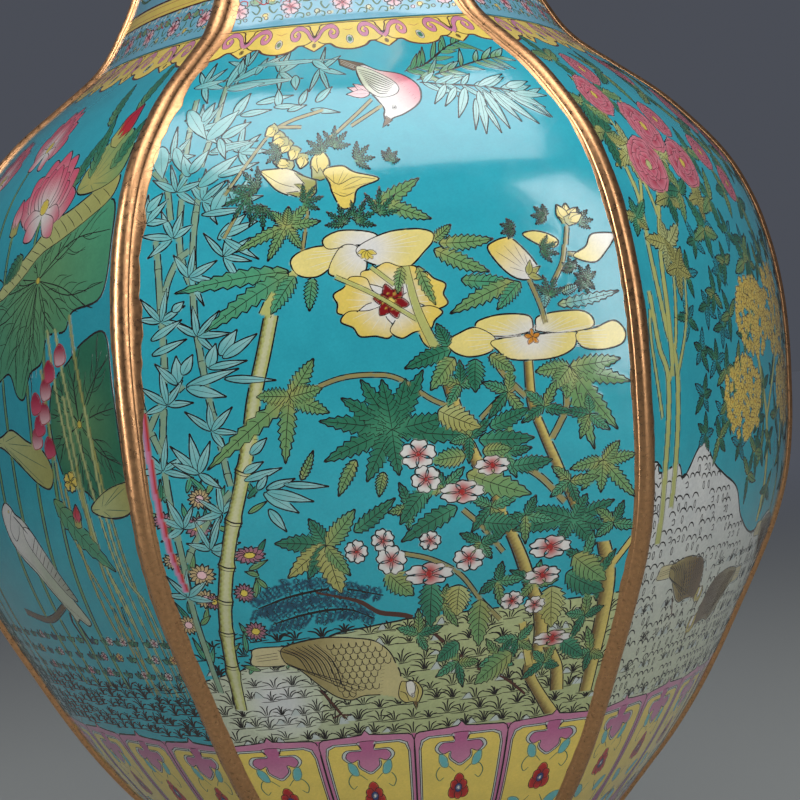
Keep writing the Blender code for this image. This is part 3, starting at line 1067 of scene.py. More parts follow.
def ruyi_band(art):
    """The border at the shoulder: yellow cloud heads with mauve scrolls, under a deeper yellow stripe."""
    band(art, 69.6, 73.5, YELLOW)
    band(art, 71.9, 73.5, LEMON)
    ruled(art, 71.9, 0.3)
    for k in range(-2, 3):
        centre = 0.6 + 20.6 * k
        head = [(-9.9, 69.2), (-9.2, 68.1), (-7.6, 67.5), (-5.6, 67.4), (-4.2, 66.6), (-2.2, 66.1), (0, 65.9),
                (2.2, 66.1), (4.2, 66.6), (5.6, 67.4), (7.6, 67.5), (9.2, 68.1), (9.9, 69.2), (9.0, 70.8),
                (7.0, 71.9), (-7.0, 71.9), (-9.0, 70.8)]
        art.shape(shifted(head, centre), YELLOW, 0.45, "brown")
        scroll = ((4.8, 70.4), (5.6, 69.8), (5.1, 69.0), (3.9, 69.1), (3.3, 70.2), (4.3, 71.2), (6.3, 71.3),
                  (8.1, 70.4), (9.2, 69.1), (10.5, 68.3))
        for hand in (1, -1):
            stem(art, shifted(mirrored(scroll, hand), centre), 0.95, MAUVE_PALE, 0.26)
        dot(art, (centre, 68.1), 1.05, PALE_LINE, 0.2, "brown")
        dot(art, (centre, 68.1), 0.6, PINE, 0.14)
        art.line(shifted([(-1.6, 70.6), (0, 70.2), (1.6, 70.6)], centre), 0.22, "rose", 0.4)
        between = centre + 10.3
        gem = shifted([(-3.1, 67.3), (0, 65.9), (3.1, 67.3), (0, 68.5)], between)
        art.shape(gem, YELLOW, 0.3, "brown", smooth=False)
        dot(art, (between, 67.2), 0.5, BARK, 0.12)


def lappet_band(art):
    """The border at the foot of the garden: pointed lappets with cloud drops and flowers, then a scroll."""
    band(art, -108, -84, BLUE)
    band(art, -84, -56.7, MAUVE)
    for k in range(4):
        centre = 11.1 + 22.2 * (k - 2)

        def put(points, centre=centre):
            return shifted(points, centre)
        frame_line = [(-11.1, -58.0), (-10.7, -57.0), (-9.8, -56.6), (-3, -56.3), (-0.9, -56.1), (0, -55.2),
                      (0.9, -56.1), (3, -56.3), (9.8, -56.6), (10.7, -57.0), (11.1, -58.0)]
        side = [(11.0, -60), (11.0, -74), (9.6, -80), (6, -84), (0, -88)]
        outer = frame_line + side + [(-x, z) for x, z in side[::-1][1:]]
        art.shape(put(outer), along((centre, -56), (centre, -86), MAUVE_PALE, MAUVE), 0.34, "ink",
                  smooth=False)
        field = [(-9.6, -60.0), (-9.0, -58.6), (-7.4, -58.0), (7.4, -58.0), (9.0, -58.6), (9.6, -60.0),
                 (9.6, -73.5), (8.2, -78.6), (5, -81.8), (0, -85.4), (-5, -81.8), (-8.2, -78.6),
                 (-9.6, -73.5)]
        rim = [(x * 1.05, z * 1.0 + (0.35 if z > -60 else -0.2)) for x, z in field]
        art.shape(put(rim), PALE_LINE, 0.26, "ink", smooth=False)
        art.shape(put(field), YELLOW, 0.26, "ink", smooth=False)
        drop = [(-1.8, -58.0), (-1.5, -59.2), (-4.4, -59.3), (-5.4, -60.4), (-4.2, -61.4), (-2.5, -61.0),
                (-2.4, -62.2), (-1.2, -63.1), (0, -63.6)]
        whole = drop + [(-x, z) for x, z in drop[::-1][1:]]
        art.shape(put(scaled(whole, -61, 1.16)), PALE_LINE, 0.26, "ink")
        art.shape(put(whole), along((centre, -58), (centre, -63.5), MAUVE, MAUVE_PALE), 0.26, "ink")
        art.fill(put([(-1.7, -57.3), (1.7, -57.3), (1.5, -59.0), (-1.5, -59.0)]), MAUVE)
        for hand in (1, -1):
            art.line(put(mirrored(((2.6, -57.9), (1.7, -58.2), (1.4, -59.0)), hand)), 0.26, "ink", 0.8)
        for hand in (1, -1):
            for tendril, leaf in (
                    (((1.2, -65.2), (3.2, -63.8), (5.0, -64.0), (6.0, -65.4), (5.2, -66.8), (4.0, -66.2)),
                     ((3.0, -64.0), (3.4, -62.2), (5.0, -61.4), (5.3, -62.8), (4.4, -64.0))),
                    (((1.5, -72.2), (3.6, -74.0), (5.8, -74.2), (7.2, -76.0), (6.2, -77.6), (4.8, -77.0)),
                     ((3.4, -73.8), (5.2, -72.2), (7.6, -72.2), (6.4, -74.2), (4.6, -74.8)))):
                art.curve(put(mirrored(tendril, hand)), 0.34, "green", 0.5)
                art.shape(put(mirrored(leaf, hand)), BAMBOO_LEAF, 0.2, "green")
        for turn in (90, 210, 330, 30, 150, 270):
            reach = 3.0 if turn in (90, 210, 330) else 2.4
            outline = [(0, 0), (0.5, 0.42), (0.85, 0.30), (1.0, 0), (0.85, -0.30), (0.5, -0.42)]
            art.shape(turned(outline, (centre, -68.6), turn, reach),
                      rounded((centre, -68.6), reach, RED_DEEP, RED), 0.22)
        dot(art, (centre, -68.6), 0.95, BLUE, 0.2)
        dot(art, (centre, -68.6), 0.4, WHITE, 0.1)
        for turn in (210, 330):
            petal(art, turned([(0, 0), (2.6, 1.5), (5.6, 1.6), (6.6, 0), (5.2, -1.5), (2.4, -1.2)],
                              (centre, -77.4), turn), (centre, -77.4), TURQUOISE, BAMBOO_LEAF_PALE, 7, 4, 0.2)
        dot(art, (centre, -77.6), 1.3, LEAF_LIGHT, 0.22)
        dot(art, (centre, -77.6), 0.55, RED, 0.12)
        for hand in (1, -1):
            art.curve(put(mirrored(((2.0, -82.6), (3.6, -82.0), (4.2, -80.6)), hand)), 0.26, "rose", 0.4)
    band(art, -108, -91.5, NECK_BLUE)
    ruled(art, -91.5, 0.5)
    band(art, -95.2, -93.2, LEMON)
    ruled(art, -93.2, 0.26)
    ruled(art, -95.2, 0.26)
    for k in range(-3, 4):
        scroll_flower(art, (13.4 * k, -99.6), 2.6, 0.8)


def scroll_flower(art, at, size, stretch=1.0, turn=0.0, petal_colour=ROSE_PALE, heart=ROSE):
    """A small round blossom with tendrils, for the borders and the neck."""
    for hand in (1, -1):
        path = [(at[0] + hand * size * 0.4, at[1]), (at[0] + hand * size * 1.5, at[1] + size * 0.9 * stretch),
                (at[0] + hand * size * 2.3, at[1] + size * 0.2 * stretch), (at[0] + hand * size * 1.9,
                                                                            at[1] - size * 0.6 * stretch),
                (at[0] + hand * size * 1.4, at[1] - size * 0.1 * stretch)]
        art.curve(path, 0.26, "green", 0.4)
        leaf = [(at[0] + hand * size * 1.4, at[1] + size * 0.85 * stretch),
                (at[0] + hand * size * 2.0, at[1] + size * 1.6 * stretch),
                (at[0] + hand * size * 2.6, at[1] + size * 1.0 * stretch),
                (at[0] + hand * size * 2.0, at[1] + size * 0.6 * stretch)]
        art.shape(leaf, LEAF_MID, 0.18)
    little_flower(art, at, size, turn, stretch, petal_colour, heart, 6, 0.2)


# ================================================================ lotus, egrets, peonies and rocks

def lotus_leaf(art, at, reach, outline=None, light=LEAF_MID, dark=LEAF_DARK, veins=15):
    """A big round leaf with veins that branch from its middle."""
    if outline is None:
        outline = []
        for i in range(18):
            a = 2 * math.pi * i / 18
            wave = 1 + 0.07 * math.sin(3 * a + at[0]) + art.random.uniform(-0.03, 0.03)
            outline.append((at[0] + math.cos(a) * reach * wave, at[1] + math.sin(a) * reach * 0.82 * wave))
    edge = smooth_line(outline, closed=True)
    art.fill(edge, rounded(at, reach * 1.25, blend_colour(light, dark, 0.35), dark, 0.0), mottle=0.07)
    art.outline(edge, 0.36)
    for i in range(veins):
        tip = edge[int(i * len(edge) / veins)]
        run = tip - np.array(at, float)
        side = np.array([-run[1], run[0]]) * 0.12 * math.sin(2.4 * i + at[0])
        middle = np.array(at) + run * 0.5 + side
        art.curve([at, middle, np.array(at) + run * 0.97], 0.36, "ink", 0.5, steps=5)
        for share, hand in ((0.30, 1), (0.42, -1), (0.52, 1), (0.62, -1), (0.72, 1)):
            start = np.array(at) + run * share + side * 4 * share * (1 - share)
            twig = np.array([-run[1], run[0]]) * 0.13 * hand * (1.35 - share)
            art.curve([start, start + run * 0.10 + twig * 0.8, start + run * 0.24 + twig * 1.1], 0.22, "ink",
                      0.3, steps=4)
    dot(art, at, 0.7, LEMON, 0.2)


def curled_leaf(art, outline, light, dark, base, veins=8, edge_ink="ink"):
    """A folded or curling leaf with veins from its base."""
    edge = smooth_line(outline, closed=True)
    far = np.hypot(*(edge - base).T).max()
    art.fill(edge, rounded(base, far, light, dark), mottle=0.05)
    art.outline(edge, 0.32, edge_ink)
    petal_lines(art, base, edge, veins, 0.22, "green", 0.15, 0.9)


def lotus_flower(art, at, size, turn=90, tip=ROSE, base=WHITE, spread=150, count=7):
    """A lotus seen from the side: pointed petals, pink at their tips."""
    order = sorted(range(count), key=lambda i: -abs(i - (count - 1) / 2))
    for row, reach in ((0, 1.0), (1, 0.78)):
        for i in order:
            share = i / (count - 1) - 0.5
            angle = turn + spread * share * (1.0 if row == 0 else 0.7)
            long = size * reach * (1 - 0.12 * abs(share))
            outline = [(0, 0), (0.22, 0.20), (0.52, 0.31), (0.84, 0.20), (1.02, 0), (0.84, -0.20),
                       (0.52, -0.31), (0.22, -0.20)]
            placed = turned(outline, at, angle, long)
            art.shape(placed, along(at, turned([(1, 0)], at, angle, long)[0], base, tip), 0.26)
            for bow in (-0.08, 0, 0.08):
                art.line(turned([(0.2, bow * 0.6), (0.6, bow), (0.88, bow * 0.4)], at, angle, long), 0.11,
                         "rose", 0.3)
    for angle in (turn + 98, turn - 98, turn + 128, turn - 128):
        placed = turned([(0, 0), (0.3, 0.2), (0.62, 0.27), (0.9, 0), (0.62, -0.22), (0.3, -0.18)], at, angle,
                        size * 0.66)
        art.shape(placed, along(at, turned([(1, 0)], at, angle, size * 0.7)[0], base, tip), 0.24)
    dot(art, (at[0], at[1] + size * 0.12), size * 0.13, LEMON, 0.2)


def reeds(art, left, right, low, high, count, tone=LEAF_OLIVE, lean=(-2.5, 2.5)):
    """A stand of thin upright stalks."""
    for i in range(count):
        x = left + (right - left) * (i + art.random.random()) / count
        top = high - art.random.uniform(0, (high - low) * 0.35)
        bend = art.random.uniform(*lean)
        stem(art, [(x, low), (x + bend * 0.2, (low + top) / 2), (x + bend, top)], 0.55, tone, 0.2, 0.5)


def egret(art, at, size=1.0, flip=False):
    """A white wading bird, its neck folded on its shoulder and its wing barred; at is above its head."""
    hand = -1 if flip else 1

    def put(points):
        return np.array(points, float) * [22 * hand * size, -23 * size] + at
    for foot in (0.0, 0.10):
        art.line(put([(0.72 + foot, 0.84), (0.66 + foot, 0.98), (0.72 + foot, 1.16)]), 0.5 * size, "ink", 0.8)
    body = put([(0.10, 0.0), (0.20, 0.03), (0.27, 0.09), (0.40, 0.14), (0.52, 0.24), (0.64, 0.40),
                (0.76, 0.56), (0.84, 0.74), (0.95, 0.88), (1.0, 0.97), (0.93, 1.0), (0.83, 0.95),
                (0.77, 0.97), (0.70, 0.88), (0.55, 0.73), (0.38, 0.57), (0.20, 0.45), (0.06, 0.31),
                (0.0, 0.17), (0.0, 0.07)])
    art.shape(body, along(put([(0.1, 0.3)])[0], put([(0.7, 0.6)])[0], WHITE, GRASS_PALE * 0.9), 0.3 * size)
    wing = put([(0.38, 0.20), (0.50, 0.22), (0.62, 0.34), (0.78, 0.54), (0.94, 0.78), (0.84, 0.76),
                (0.68, 0.62), (0.50, 0.44), (0.38, 0.30)])
    art.shape(wing, along(put([(0.4, 0.2)])[0], put([(0.9, 0.8)])[0], WHITE, GRASS_PALE * 0.6), 0.26 * size)
    for k in range(11):
        start = put([(0.44 + 0.042 * k, 0.40 + 0.034 * k)])[0]
        end = put([(0.56 + 0.036 * k, 0.28 + 0.046 * k)])[0]
        art.line([start, end], (0.30 if k % 3 == 0 else 0.18) * size, "brown", 0.5)
    art.curve(put([(0.24, 0.05), (0.16, 0.12), (0.11, 0.22), (0.17, 0.31), (0.26, 0.26), (0.31, 0.18)]),
              0.26 * size, "ink", 0.5)
    art.curve(put([(0.04, 0.30), (0.20, 0.42), (0.40, 0.54), (0.62, 0.76)]), 0.16 * size, "brown", 0.4)
    art.line(put([(0.22, 0.10), (0.32, 0.16), (0.44, 0.25)]), 0.5 * size, "ink", 0.3)
    dot(art, put([(0.15, 0.07)])[0], 0.34 * size, YELLOW, 0.12)
    for k in range(6):
        spot = put([(0.66 + 0.05 * k, 0.80 + 0.03 * k)])[0]
        art.line([spot, spot + np.array([1.2 * hand, -1.3]) * size], 0.14 * size, "brown", 0.4)


def peony(art, at, size, inner=CRIMSON, outer=ROSE, squash=0.85, heart=LEMON):
    """A full double blossom: rings of ruffled petals."""
    for row, (reach, count) in enumerate(((1.0, 9), (0.78, 8), (0.55, 6), (0.34, 5))):
        for i in range(count):
            angle = 2 * math.pi * (i + 0.5 * (row % 2)) / count + at[0]
            centre = (at[0] + math.cos(angle) * size * reach * 0.62,
                      at[1] + math.sin(angle) * size * reach * 0.62 * squash)
            radius = size * (0.38 if row < 2 else 0.26) * art.random.uniform(0.85, 1.15)
            ring = []
            for k in range(8):
                a = 2 * math.pi * k / 8 + angle
                ripple = 1 + (0.14 if k % 2 else -0.08)
                ring.append((centre[0] + math.cos(a) * radius * ripple,
                             centre[1] + math.sin(a) * radius * ripple * squash))
            middle = blend_colour(inner, outer, 0.2 * row)
            rim = blend_colour(outer, ROSE_PALE, 0.35)
            art.shape(ring, rounded(centre, radius * 1.2, middle, rim, 0.0), 0.16)
            far = (at[0] + math.cos(angle) * size * reach * 0.95,
                   at[1] + math.sin(angle) * size * reach * 0.9 * squash)
            art.line([centre, far], 0.12, "rose", 0.4)
    dot(art, at, size * 0.16, heart, 0.2)


def blossom_cloud(art, left, right, low, high, count, size, petal_colour=YELLOW, heart=LEMON):
    """A heavy cluster of tiny blossoms."""
    for i in range(count):
        at = (art.random.uniform(left, right), art.random.uniform(low, high))
        middle = ((left + right) / 2, (low + high) / 2)
        if ((at[0] - middle[0]) / (right - left)) ** 2 + ((at[1] - middle[1]) / (high - low)) ** 2 > 0.25:
            continue
        spin = art.random.uniform(0, 90)
        for k in range(4):
            dot(art, reached(at, spin + 90 * k, size * 0.55), size * 0.46, petal_colour, 0.16, "brown")
        dot(art, at, size * 0.24, heart * [0.8, 0.55, 0.3], 0.0)


def rocky_ground(art, top, low=-56.6, shade=BANK_WHITE, dots=0.85):
    """Pale rocks and water's edge: a filled bank with wavy strokes, stipple and moss."""
    edge = smooth_line(top, steps=8)
    bank = np.vstack([edge, [(edge[-1][0], low), (edge[0][0], low)]])
    art.fill(bank, along((0, -20), (0, -56), shade, blend_colour(shade, GRASS, 0.6)), raised=0.02,
             mottle=0.10)
    art.line(edge, 0.34, "ink", 0.8)
    z = edge[:, 1].max() - 0.4
    while z > low + 1.0:
        x = edge[0][0] + art.random.uniform(0, 2)
        while x < edge[-1][0]:
            count = int(art.random.integers(2, 6))
            level = z + art.random.uniform(-0.5, 0.5)
            for k in range(count):
                roof = np.interp(x, edge[:, 0], edge[:, 1])
                wide = art.random.uniform(0.9, 1.3)
                if level < roof - 0.5 and art.random.random() < dots:
                    art.curve([(x - wide, level), (x - wide * 0.5, level + 0.75),
                               (x + wide * 0.4, level + 0.7), (x + wide, level)], 0.32, "ink", 0.7, steps=4)
                    if art.random.random() < 0.55:
                        oval = [(x + 0.34 * math.cos(a), level - 1.25 + 0.7 * math.sin(a))
                                for a in np.arange(0, 6.9, 1.04)]
                        art.curve(oval, 0.24, "ink", 0.8, steps=2)
                    elif art.random.random() < 0.3:
                        curl = [(x, level - 0.9), (x + 0.9, level - 0.6), (x + 1.0, level - 1.5),
                                (x + 0.2, level - 1.6)]
                        art.curve(curl, 0.26, "ink", 0.6, steps=4)
                x += wide * 2
            x += art.random.uniform(0.2, 1.6)
        z -= 2.9 * art.random.uniform(0.9, 1.1)


def scatter_leaves(art, places, length, width, tones=((LEAF_DARK, PINE), (LEAF_OLIVE, LEAF_MID)), spread=360,
                   turn=0.0, each=3):
    """Small saw-edged leaves in little groups, to fill a planting out."""
    for i, (x, z) in enumerate(places):
        start = art.random.uniform(-spread / 2, spread / 2) + turn
        for k in range(each):
            light, dark = tones[(i + k) % len(tones)]
            angle = start + 75 * (k - (each - 1) / 2)
            long = length * art.random.uniform(0.75, 1.2)
            long_leaf(art, (x, z), reached((x, z), angle, long), width, light, dark, 0.08, 5, 0.4)


def water_rows(art, low, high, step=3.2):
    """Small floating flowers and weed in rows."""
    z = high
    while z > low:
        x = -42 + art.random.uniform(0, 5)
        while x < 42:
            for turn in (150, 90, 30):
                slim_leaf(art, (x, z), (x + 1.9 * math.cos(math.radians(turn)),
                                        z + 1.3 * math.sin(math.radians(turn))),
                          0.9, (PINE, LEAF_DARK, FERN)[int(art.random.integers(0, 3))], 0.2)
            if art.random.random() < 0.45:
                little_flower(art, (x + 1.8, z + 0.6), 1.1, 10, 0.7, (ROSE_PALE, YELLOW, WHITE)[
                    int(art.random.integers(0, 3))], ROSE, 5, 0.16)
            x += art.random.uniform(3.6, 6.2)
        z -= step


def lotus_pond(art, number):
    """The front left panel: lotus, reeds and egrets."""
    reeds(art, -40, -30, -45, 30, 9)
    for x, top, bend in ((16, 45, 3), (5, 41, -2), (-2, 54, -3), (22, 28, 2), (-24, 22, 2), (-18, 50, 3)):
        stem(art, [(x - bend, -46), (x - bend * 0.4, 0), (x, top)], 1.0, LEAF_MID, 0.26, 0.8)
    lotus_leaf(art, (-24, 24), 14)
    lotus_leaf(art, (19, 29), 18, [(3, 27), (10, 30), (17, 33.5), (25, 36), (33, 39), (40, 41), (41, 33),
                                   (39, 24.5), (31, 22.6), (28.5, 19.4), (23, 18.8), (20.7, 14.4),
                                   (16.5, 12.6), (13.7, 8.4), (11, 9), (8.4, 13), (2, 11.5), (-5, 15),
                                   (-6, 22), (-2, 26)],
               LEAF_MID, LEAF_DARK, 21)
    fold_top = [(2.5, 27.6), (9.4, 31.6), (14.8, 34.8), (21, 39), (27.6, 41), (35, 44), (40, 45.5)]
    fold_low = [(39, 41.5), (32, 38), (25.5, 35.6), (19, 33.6), (12.6, 29.8), (5, 26.6)]
    curled_leaf(art, fold_top + fold_low, LEAF_LIGHT, LEAF_OLIVE, (5, 27), 0)
    for upper, lower in zip(smooth_line(fold_top, steps=3), smooth_line(fold_low[::-1], steps=3)):
        art.curve([lower * 0.9 + upper * 0.1, (upper + lower) / 2 + [0.6, -0.2], upper * 0.9 + lower * 0.1],
                  0.22, "ink", 0.35, steps=4)
    lotus_leaf(art, (31, 3), 10, [(29.2, 13.8), (34, 17), (40, 18), (41, 9), (41.5, -2), (41, -9), (34, -12),
                                  (30.8, -9), (25, -7), (22.8, -2), (22, 3.4), (23.3, 8.9), (26, 12)],
               LEAF_MID, PINE, 15)
    for x, top, sway, foot in ((20.5, 13, 3, 31), (23, 20, 5, 35), (25.5, 20, 6.5, 37), (27, 8, 4, 33.5),
                               (30, 22, 5, 39), (28.5, -4, 2.5, 30), (33, 6, 3, 40.5), (24, -8, 3, 28.5)):
        stem(art, [(x, top), (x + sway, top - 28), ((x + sway + foot) / 2 + 1.5, -30), (foot, -47)], 0.75,
             (LEAF_OLIVE, LEAF_LIGHT)[int(x) % 2], 0.13, 0.6)
    long_leaf(art, (19.5, -10), (34, -23), 4.6, LEAF_MID, LEAF_DARK)
    curled_leaf(art, [(27, 44), (30, 51), (36, 54.5), (40.5, 52), (40, 46), (34, 43.5)], LEAF_OLIVE, LEAF_MID,
                (31, 45), 8)
    for x, z, angle, size in ((24, 44, 70, 11), (30, 46, 100, 12), (36, 47, 60, 10), (12, 34, 215, 8),
                              (35, 58, 80, 10), (27, 56, 110, 9)):
        long_leaf(art, (x, z), reached((x, z), angle, size), 3.4, LEAF_MID, PINE)
    bud(art, (33, 52), 60, 8, 4.6, CRIMSON, RED)
    curled_leaf(art, [(-2, 0.5), (3, 1.8), (7.3, 2.8), (12.6, 0.7), (18, -1.2), (20.7, -5), (19, -8),
                      (14.8, -7), (9.4, -3.9), (3, -0.6)], LEAF_LIGHT, LEAF_OLIVE, (3, 0.6), 8)
    curled_leaf(art, [(31, -12), (35.5, -9), (40.5, -7.6), (42, -8), (42, -12.4), (36.5, -13.6)], LEAF_LIGHT,
                LEAF_OLIVE, (34, -12), 6)
    lotus_flower(art, (16, 41), 11.5)
    lotus_flower(art, (1, 54), 8.5, 85)
    lotus_flower(art, (-20, 50), 8.5, 96)
    bud(art, (5, 38.5), 92, 6.5, 3.6, ROSE, ROSE_PALE)
    for i, (x, z) in enumerate(((21, -1), (17, 0.7), (18.5, 3), (20.6, 5.1), (18, 6.9), (21.7, 9.2),
                                (23.3, 12.3), (27, 15))):
        art.shape([(x - 1.5, z - 1.6), (x - 1.9, z + 0.6), (x - 0.4, z + 2.2), (x + 1.2, z + 1.2),
                   (x + 1.3, z - 1.0)],
                  along((x, z - 2), (x, z + 2), ROSE_PALE if i % 2 else ROSE, CRIMSON), 0.24, "rose")
    little_flower(art, (26, -7), 2.0, 0, 0.9, YELLOW, LEMON)
    bud(art, (26, -15), 85, 4, 2.4, RED, ROSE)
    stem(art, [(-10, -32), (2, -33), (14, -29)], 1.2, BARK, 0.26)
    egret(art, (-3.0, -10.6), 1.0)
    egret(art, (-20, -6), 0.9, True)
    water_rows(art, -46, -37)
    grass_rows(art, -42, 42, -56.2, -46, 2.2, 3.6, 2.0, 1.5, 0.0)


def rock_garden(art, number):
    """The front right panel: peonies, osmanthus, tall stems, pale rocks and quails."""
    rocky_ground(art, [(-46, -13), (-41, -12.5), (-40, -14.5), (-34, -13.5), (-32, -16), (-27, -11.5),
                       (-24, -10.5), (-20, -14.5), (-15, -17), (-8, -20), (-2, -26), (10, -30), (24, -27),
                       (34, -31), (46, -29)])
    scatter_leaves(art, ((-30, 24), (-26, 20), (-28, 12), (-24, 6), (-20, 14), (-18, 4), (-14, 10), (-24, -2),
                         (-16, -6), (-10, 0), (-12, 20), (-20, 26), (-14, 30), (-24, -9), (-8, -12), (4, -8),
                         (16, 0), (24, -6), (34, 8), (38, 20), (30, 28), (6, 26), (18, 26), (-2, 28)), 4.0,
                   1.8, ((PINE, TURQUOISE_DEEP), (LEAF_DARK, PINE)), each=5)
    for points, width in (([(-39, -27), (-38.5, -15), (-36.5, 1), (-38.8, 7.6), (-40, 17)], 1.6),
                          ([(-36.5, 1), (-33.6, 7), (-32, 14), (-31, 20)], 1.1),
                          ([(-36, -21), (-33.4, 2), (-36, 11), (-37.5, 23), (-36.5, 34), (-37.5, 43)], 1.5),
                          ([(-36.8, 31), (-33, 39), (-32, 44)], 1.0),
                          ([(-35, 2), (-34.5, 21), (-31.5, 30), (-26, 40), (-20, 55)], 1.4),
                          ([(-31.5, 30), (-33, 40), (-33, 49)], 1.0),
                          ([(-26, 40), (-21.5, 43), (-17, 49)], 1.0),
                          ([(-33.4, 2), (-29, 11), (-27, 20)], 0.9),
                          ([(-39, -5), (-41, 8), (-40.5, 14)], 0.9),
                          ([(12, -28), (10, -8), (4, 8), (6, 24)], 1.8), ([(10, -8), (20, 4), (27, 14)], 1.3),
                          ([(26, -28), (24, -10), (30, 6), (28, 24)], 1.4)):
        stem(art, points, width, CANE, 0.20, 0.75)
    for x, z, tone, size in ((-31, 25, LEAF_LIGHT, 6.4), (-34, 42, LEAF_LIGHT, 6.2),
                             (-29, 21, LEAF_OLIVE, 5.4), (-20, 43, LEAF_LIGHT, 5.6), (-38, 46, PINE, 7.0),
                             (-25, 34, PINE, 6.0), (-39, 30, LEAF_DARK, 4.6), (-33, 53, LEAF_OLIVE, 5.6),
                             (-12, 34, LEAF_OLIVE, 5.4)):
        scatter_leaves(art, ((x, z),), size, size * 0.5, ((tone, tone * 0.8), (tone, LEAF_OLIVE)), 60, 250, 5)
    scatter_leaves(art, ((-14, 28), (-26, 55), (-14, 60), (-5, 44),
                         (-20, 35), (-38, 52), (0, 56), (8, 50), (14, 44), (-6, 34), (6, 36), (16, 34),
                         (24, 44), (30, 54), (34, 40), (24, 58), (12, 62), (36, 62), (-34, 62), (38, 30),
                         (4, 22)), 7.0, 2.8, each=4)
    scatter_leaves(art, ((-8, 3), (2, 14), (14, 22), (28, 26), (36, 14), (34, 0), (18, -8), (24, -16),
                         (36, -12), (6, -14), (-14, -4), (-18, -10), (-2, -18), (34, -22), (14, -22),
                         (-10, 12), (-2, 8), (8, 22), (20, 24), (-14, 2), (8, -2), (26, 2), (-16, 16),
                         (-8, 22), (2, -14), (12, -12), (28, -10)), 5.0, 2.0, each=4)
    for x, z, size in ((-31, 54, 5.2), (-20, 48, 6.2), (-10, 50, 4.4), (-12, 41, 6.0), (-24, 60, 4.4),
                       (18, 54, 6.0), (30, 48, 5.4), (4, 44, 4.6), (12, 38, 4.2), (34, 62, 4.6),
                       (2, 62, 4.4)):
        peony(art, (x, z), size)
    peony(art, (-28, 40), 6.2, CRIMSON, ROSE, 0.9, LEAF_LIGHT)
    for left, right, low, high in ((-6, 14, 4, 20), (12, 34, 4, 22), (-15, 6, -11, 4), (20, 40, -10, 4)):
        blossom_cloud(art, left, right, low, high, 190, 1.15)
    grass_rows(art, -42, 42, -56.2, -34, 5.4, 8.5, 1.8)
    quail(art, (-14, -4.0), 0.72, False, BARK)
    quail(art, (-12, -6.0), 0.8, True, BARK)
    quail(art, (38, 2), 0.8, False, BARK)


def blossom_tree(art, number):
    """The three panels at the back: a tree in blossom over a grassy bank, with birds."""
    hand = -1 if number % 2 else 1
    rocky_ground(art, [(-46, -40), (-30, -36), (-12, -39), (6, -34), (24, -38), (46, -35)], -56.6, GRASS_PALE,
                 0.3)
    grass_rows(art, -42, 42, -56.2, -42)

    def put(points):
        return mirrored(points, hand)
    left = put([(-10, -44), (-6, -24), (-14, -4), (-4, 16), (-12, 34), (-4, 52)])
    right = put([(-6, -44), (-2.4, -24), (-10.6, -4), (-1, 16), (-9.8, 34), (-3, 52)])
    trunk(art, left, right, marks=60)
    twigs = (((-12, -4), (-24, 6), (-30, 18)), ((-3, 16), (12, 26), (20, 40)),
             ((-4, -24), (12, -14), (24, 0)), ((-10, 34), (-22, 42), (-28, 56)), ((-8, 6), (6, 4), (18, 12)),
             ((-3, 48), (8, 54), (22, 58)), ((-6, -34), (-20, -26), (-30, -12)),
             ((12, -14), (26, -18), (34, -26)), ((-10, 28), (-20, 24), (-34, 34)))
    for twig in twigs:
        stem(art, put(twig), 1.1, BARK_LIGHT, 0.26, 0.6)
    places = [point for twig in twigs for point in put(twig)[1:]]
    scatter_leaves(art, places + put([(-20, -2), (0, 26), (14, 6), (-2, 42), (-22, 30), (30, 8), (10, -24),
                                      (-14, -18), (26, 30), (-34, 46), (0, 60), (-14, 60), (32, 48), (-34, 2),
                                      (2, -6)]),
                   7.0, 2.9, each=5)
    inner, outer = ((WHITE, YELLOW), (ROSE_PALE, ROSE), (WHITE, MAUVE_PALE))[number % 3]
    for x, z, size in ((-30, 19, 7.5), (20, 41, 7.5), (24, 1, 7), (-27, 57, 6.5), (18, 13, 6.5), (22, 59, 6),
                       (-31, -11, 6.5), (-4, 53, 6), (34, -26, 5.5), (-34, 35, 5.5)):
        many_petals(art, (hand * x, z), size, 90, 6, 0.85, inner, outer, LEMON)
    for x, z in ((10, -14), (14, -22), (-18, -26), (0, -8), (8, 30), (-14, 10), (30, 22), (-16, 48),
                 (12, 48)):
        little_flower(art, (hand * x, z), 2.6, 20, 0.85, WHITE, CRIMSON)
    perched_bird(art, (6 if hand > 0 else -18, -33), 1.0, (ROSE, BLUE, LEAF_DARK)[number % 3], WHITE,
                 hand < 0)
    if number % 2:
        quail(art, (18, 0), 0.9, True)
    else:
        quail(art, (24, 1), 0.9)
        perched_bird(art, (-24, 4), 0.9, BLUE, YELLOW_PALE)


# ================================================================ the front garden

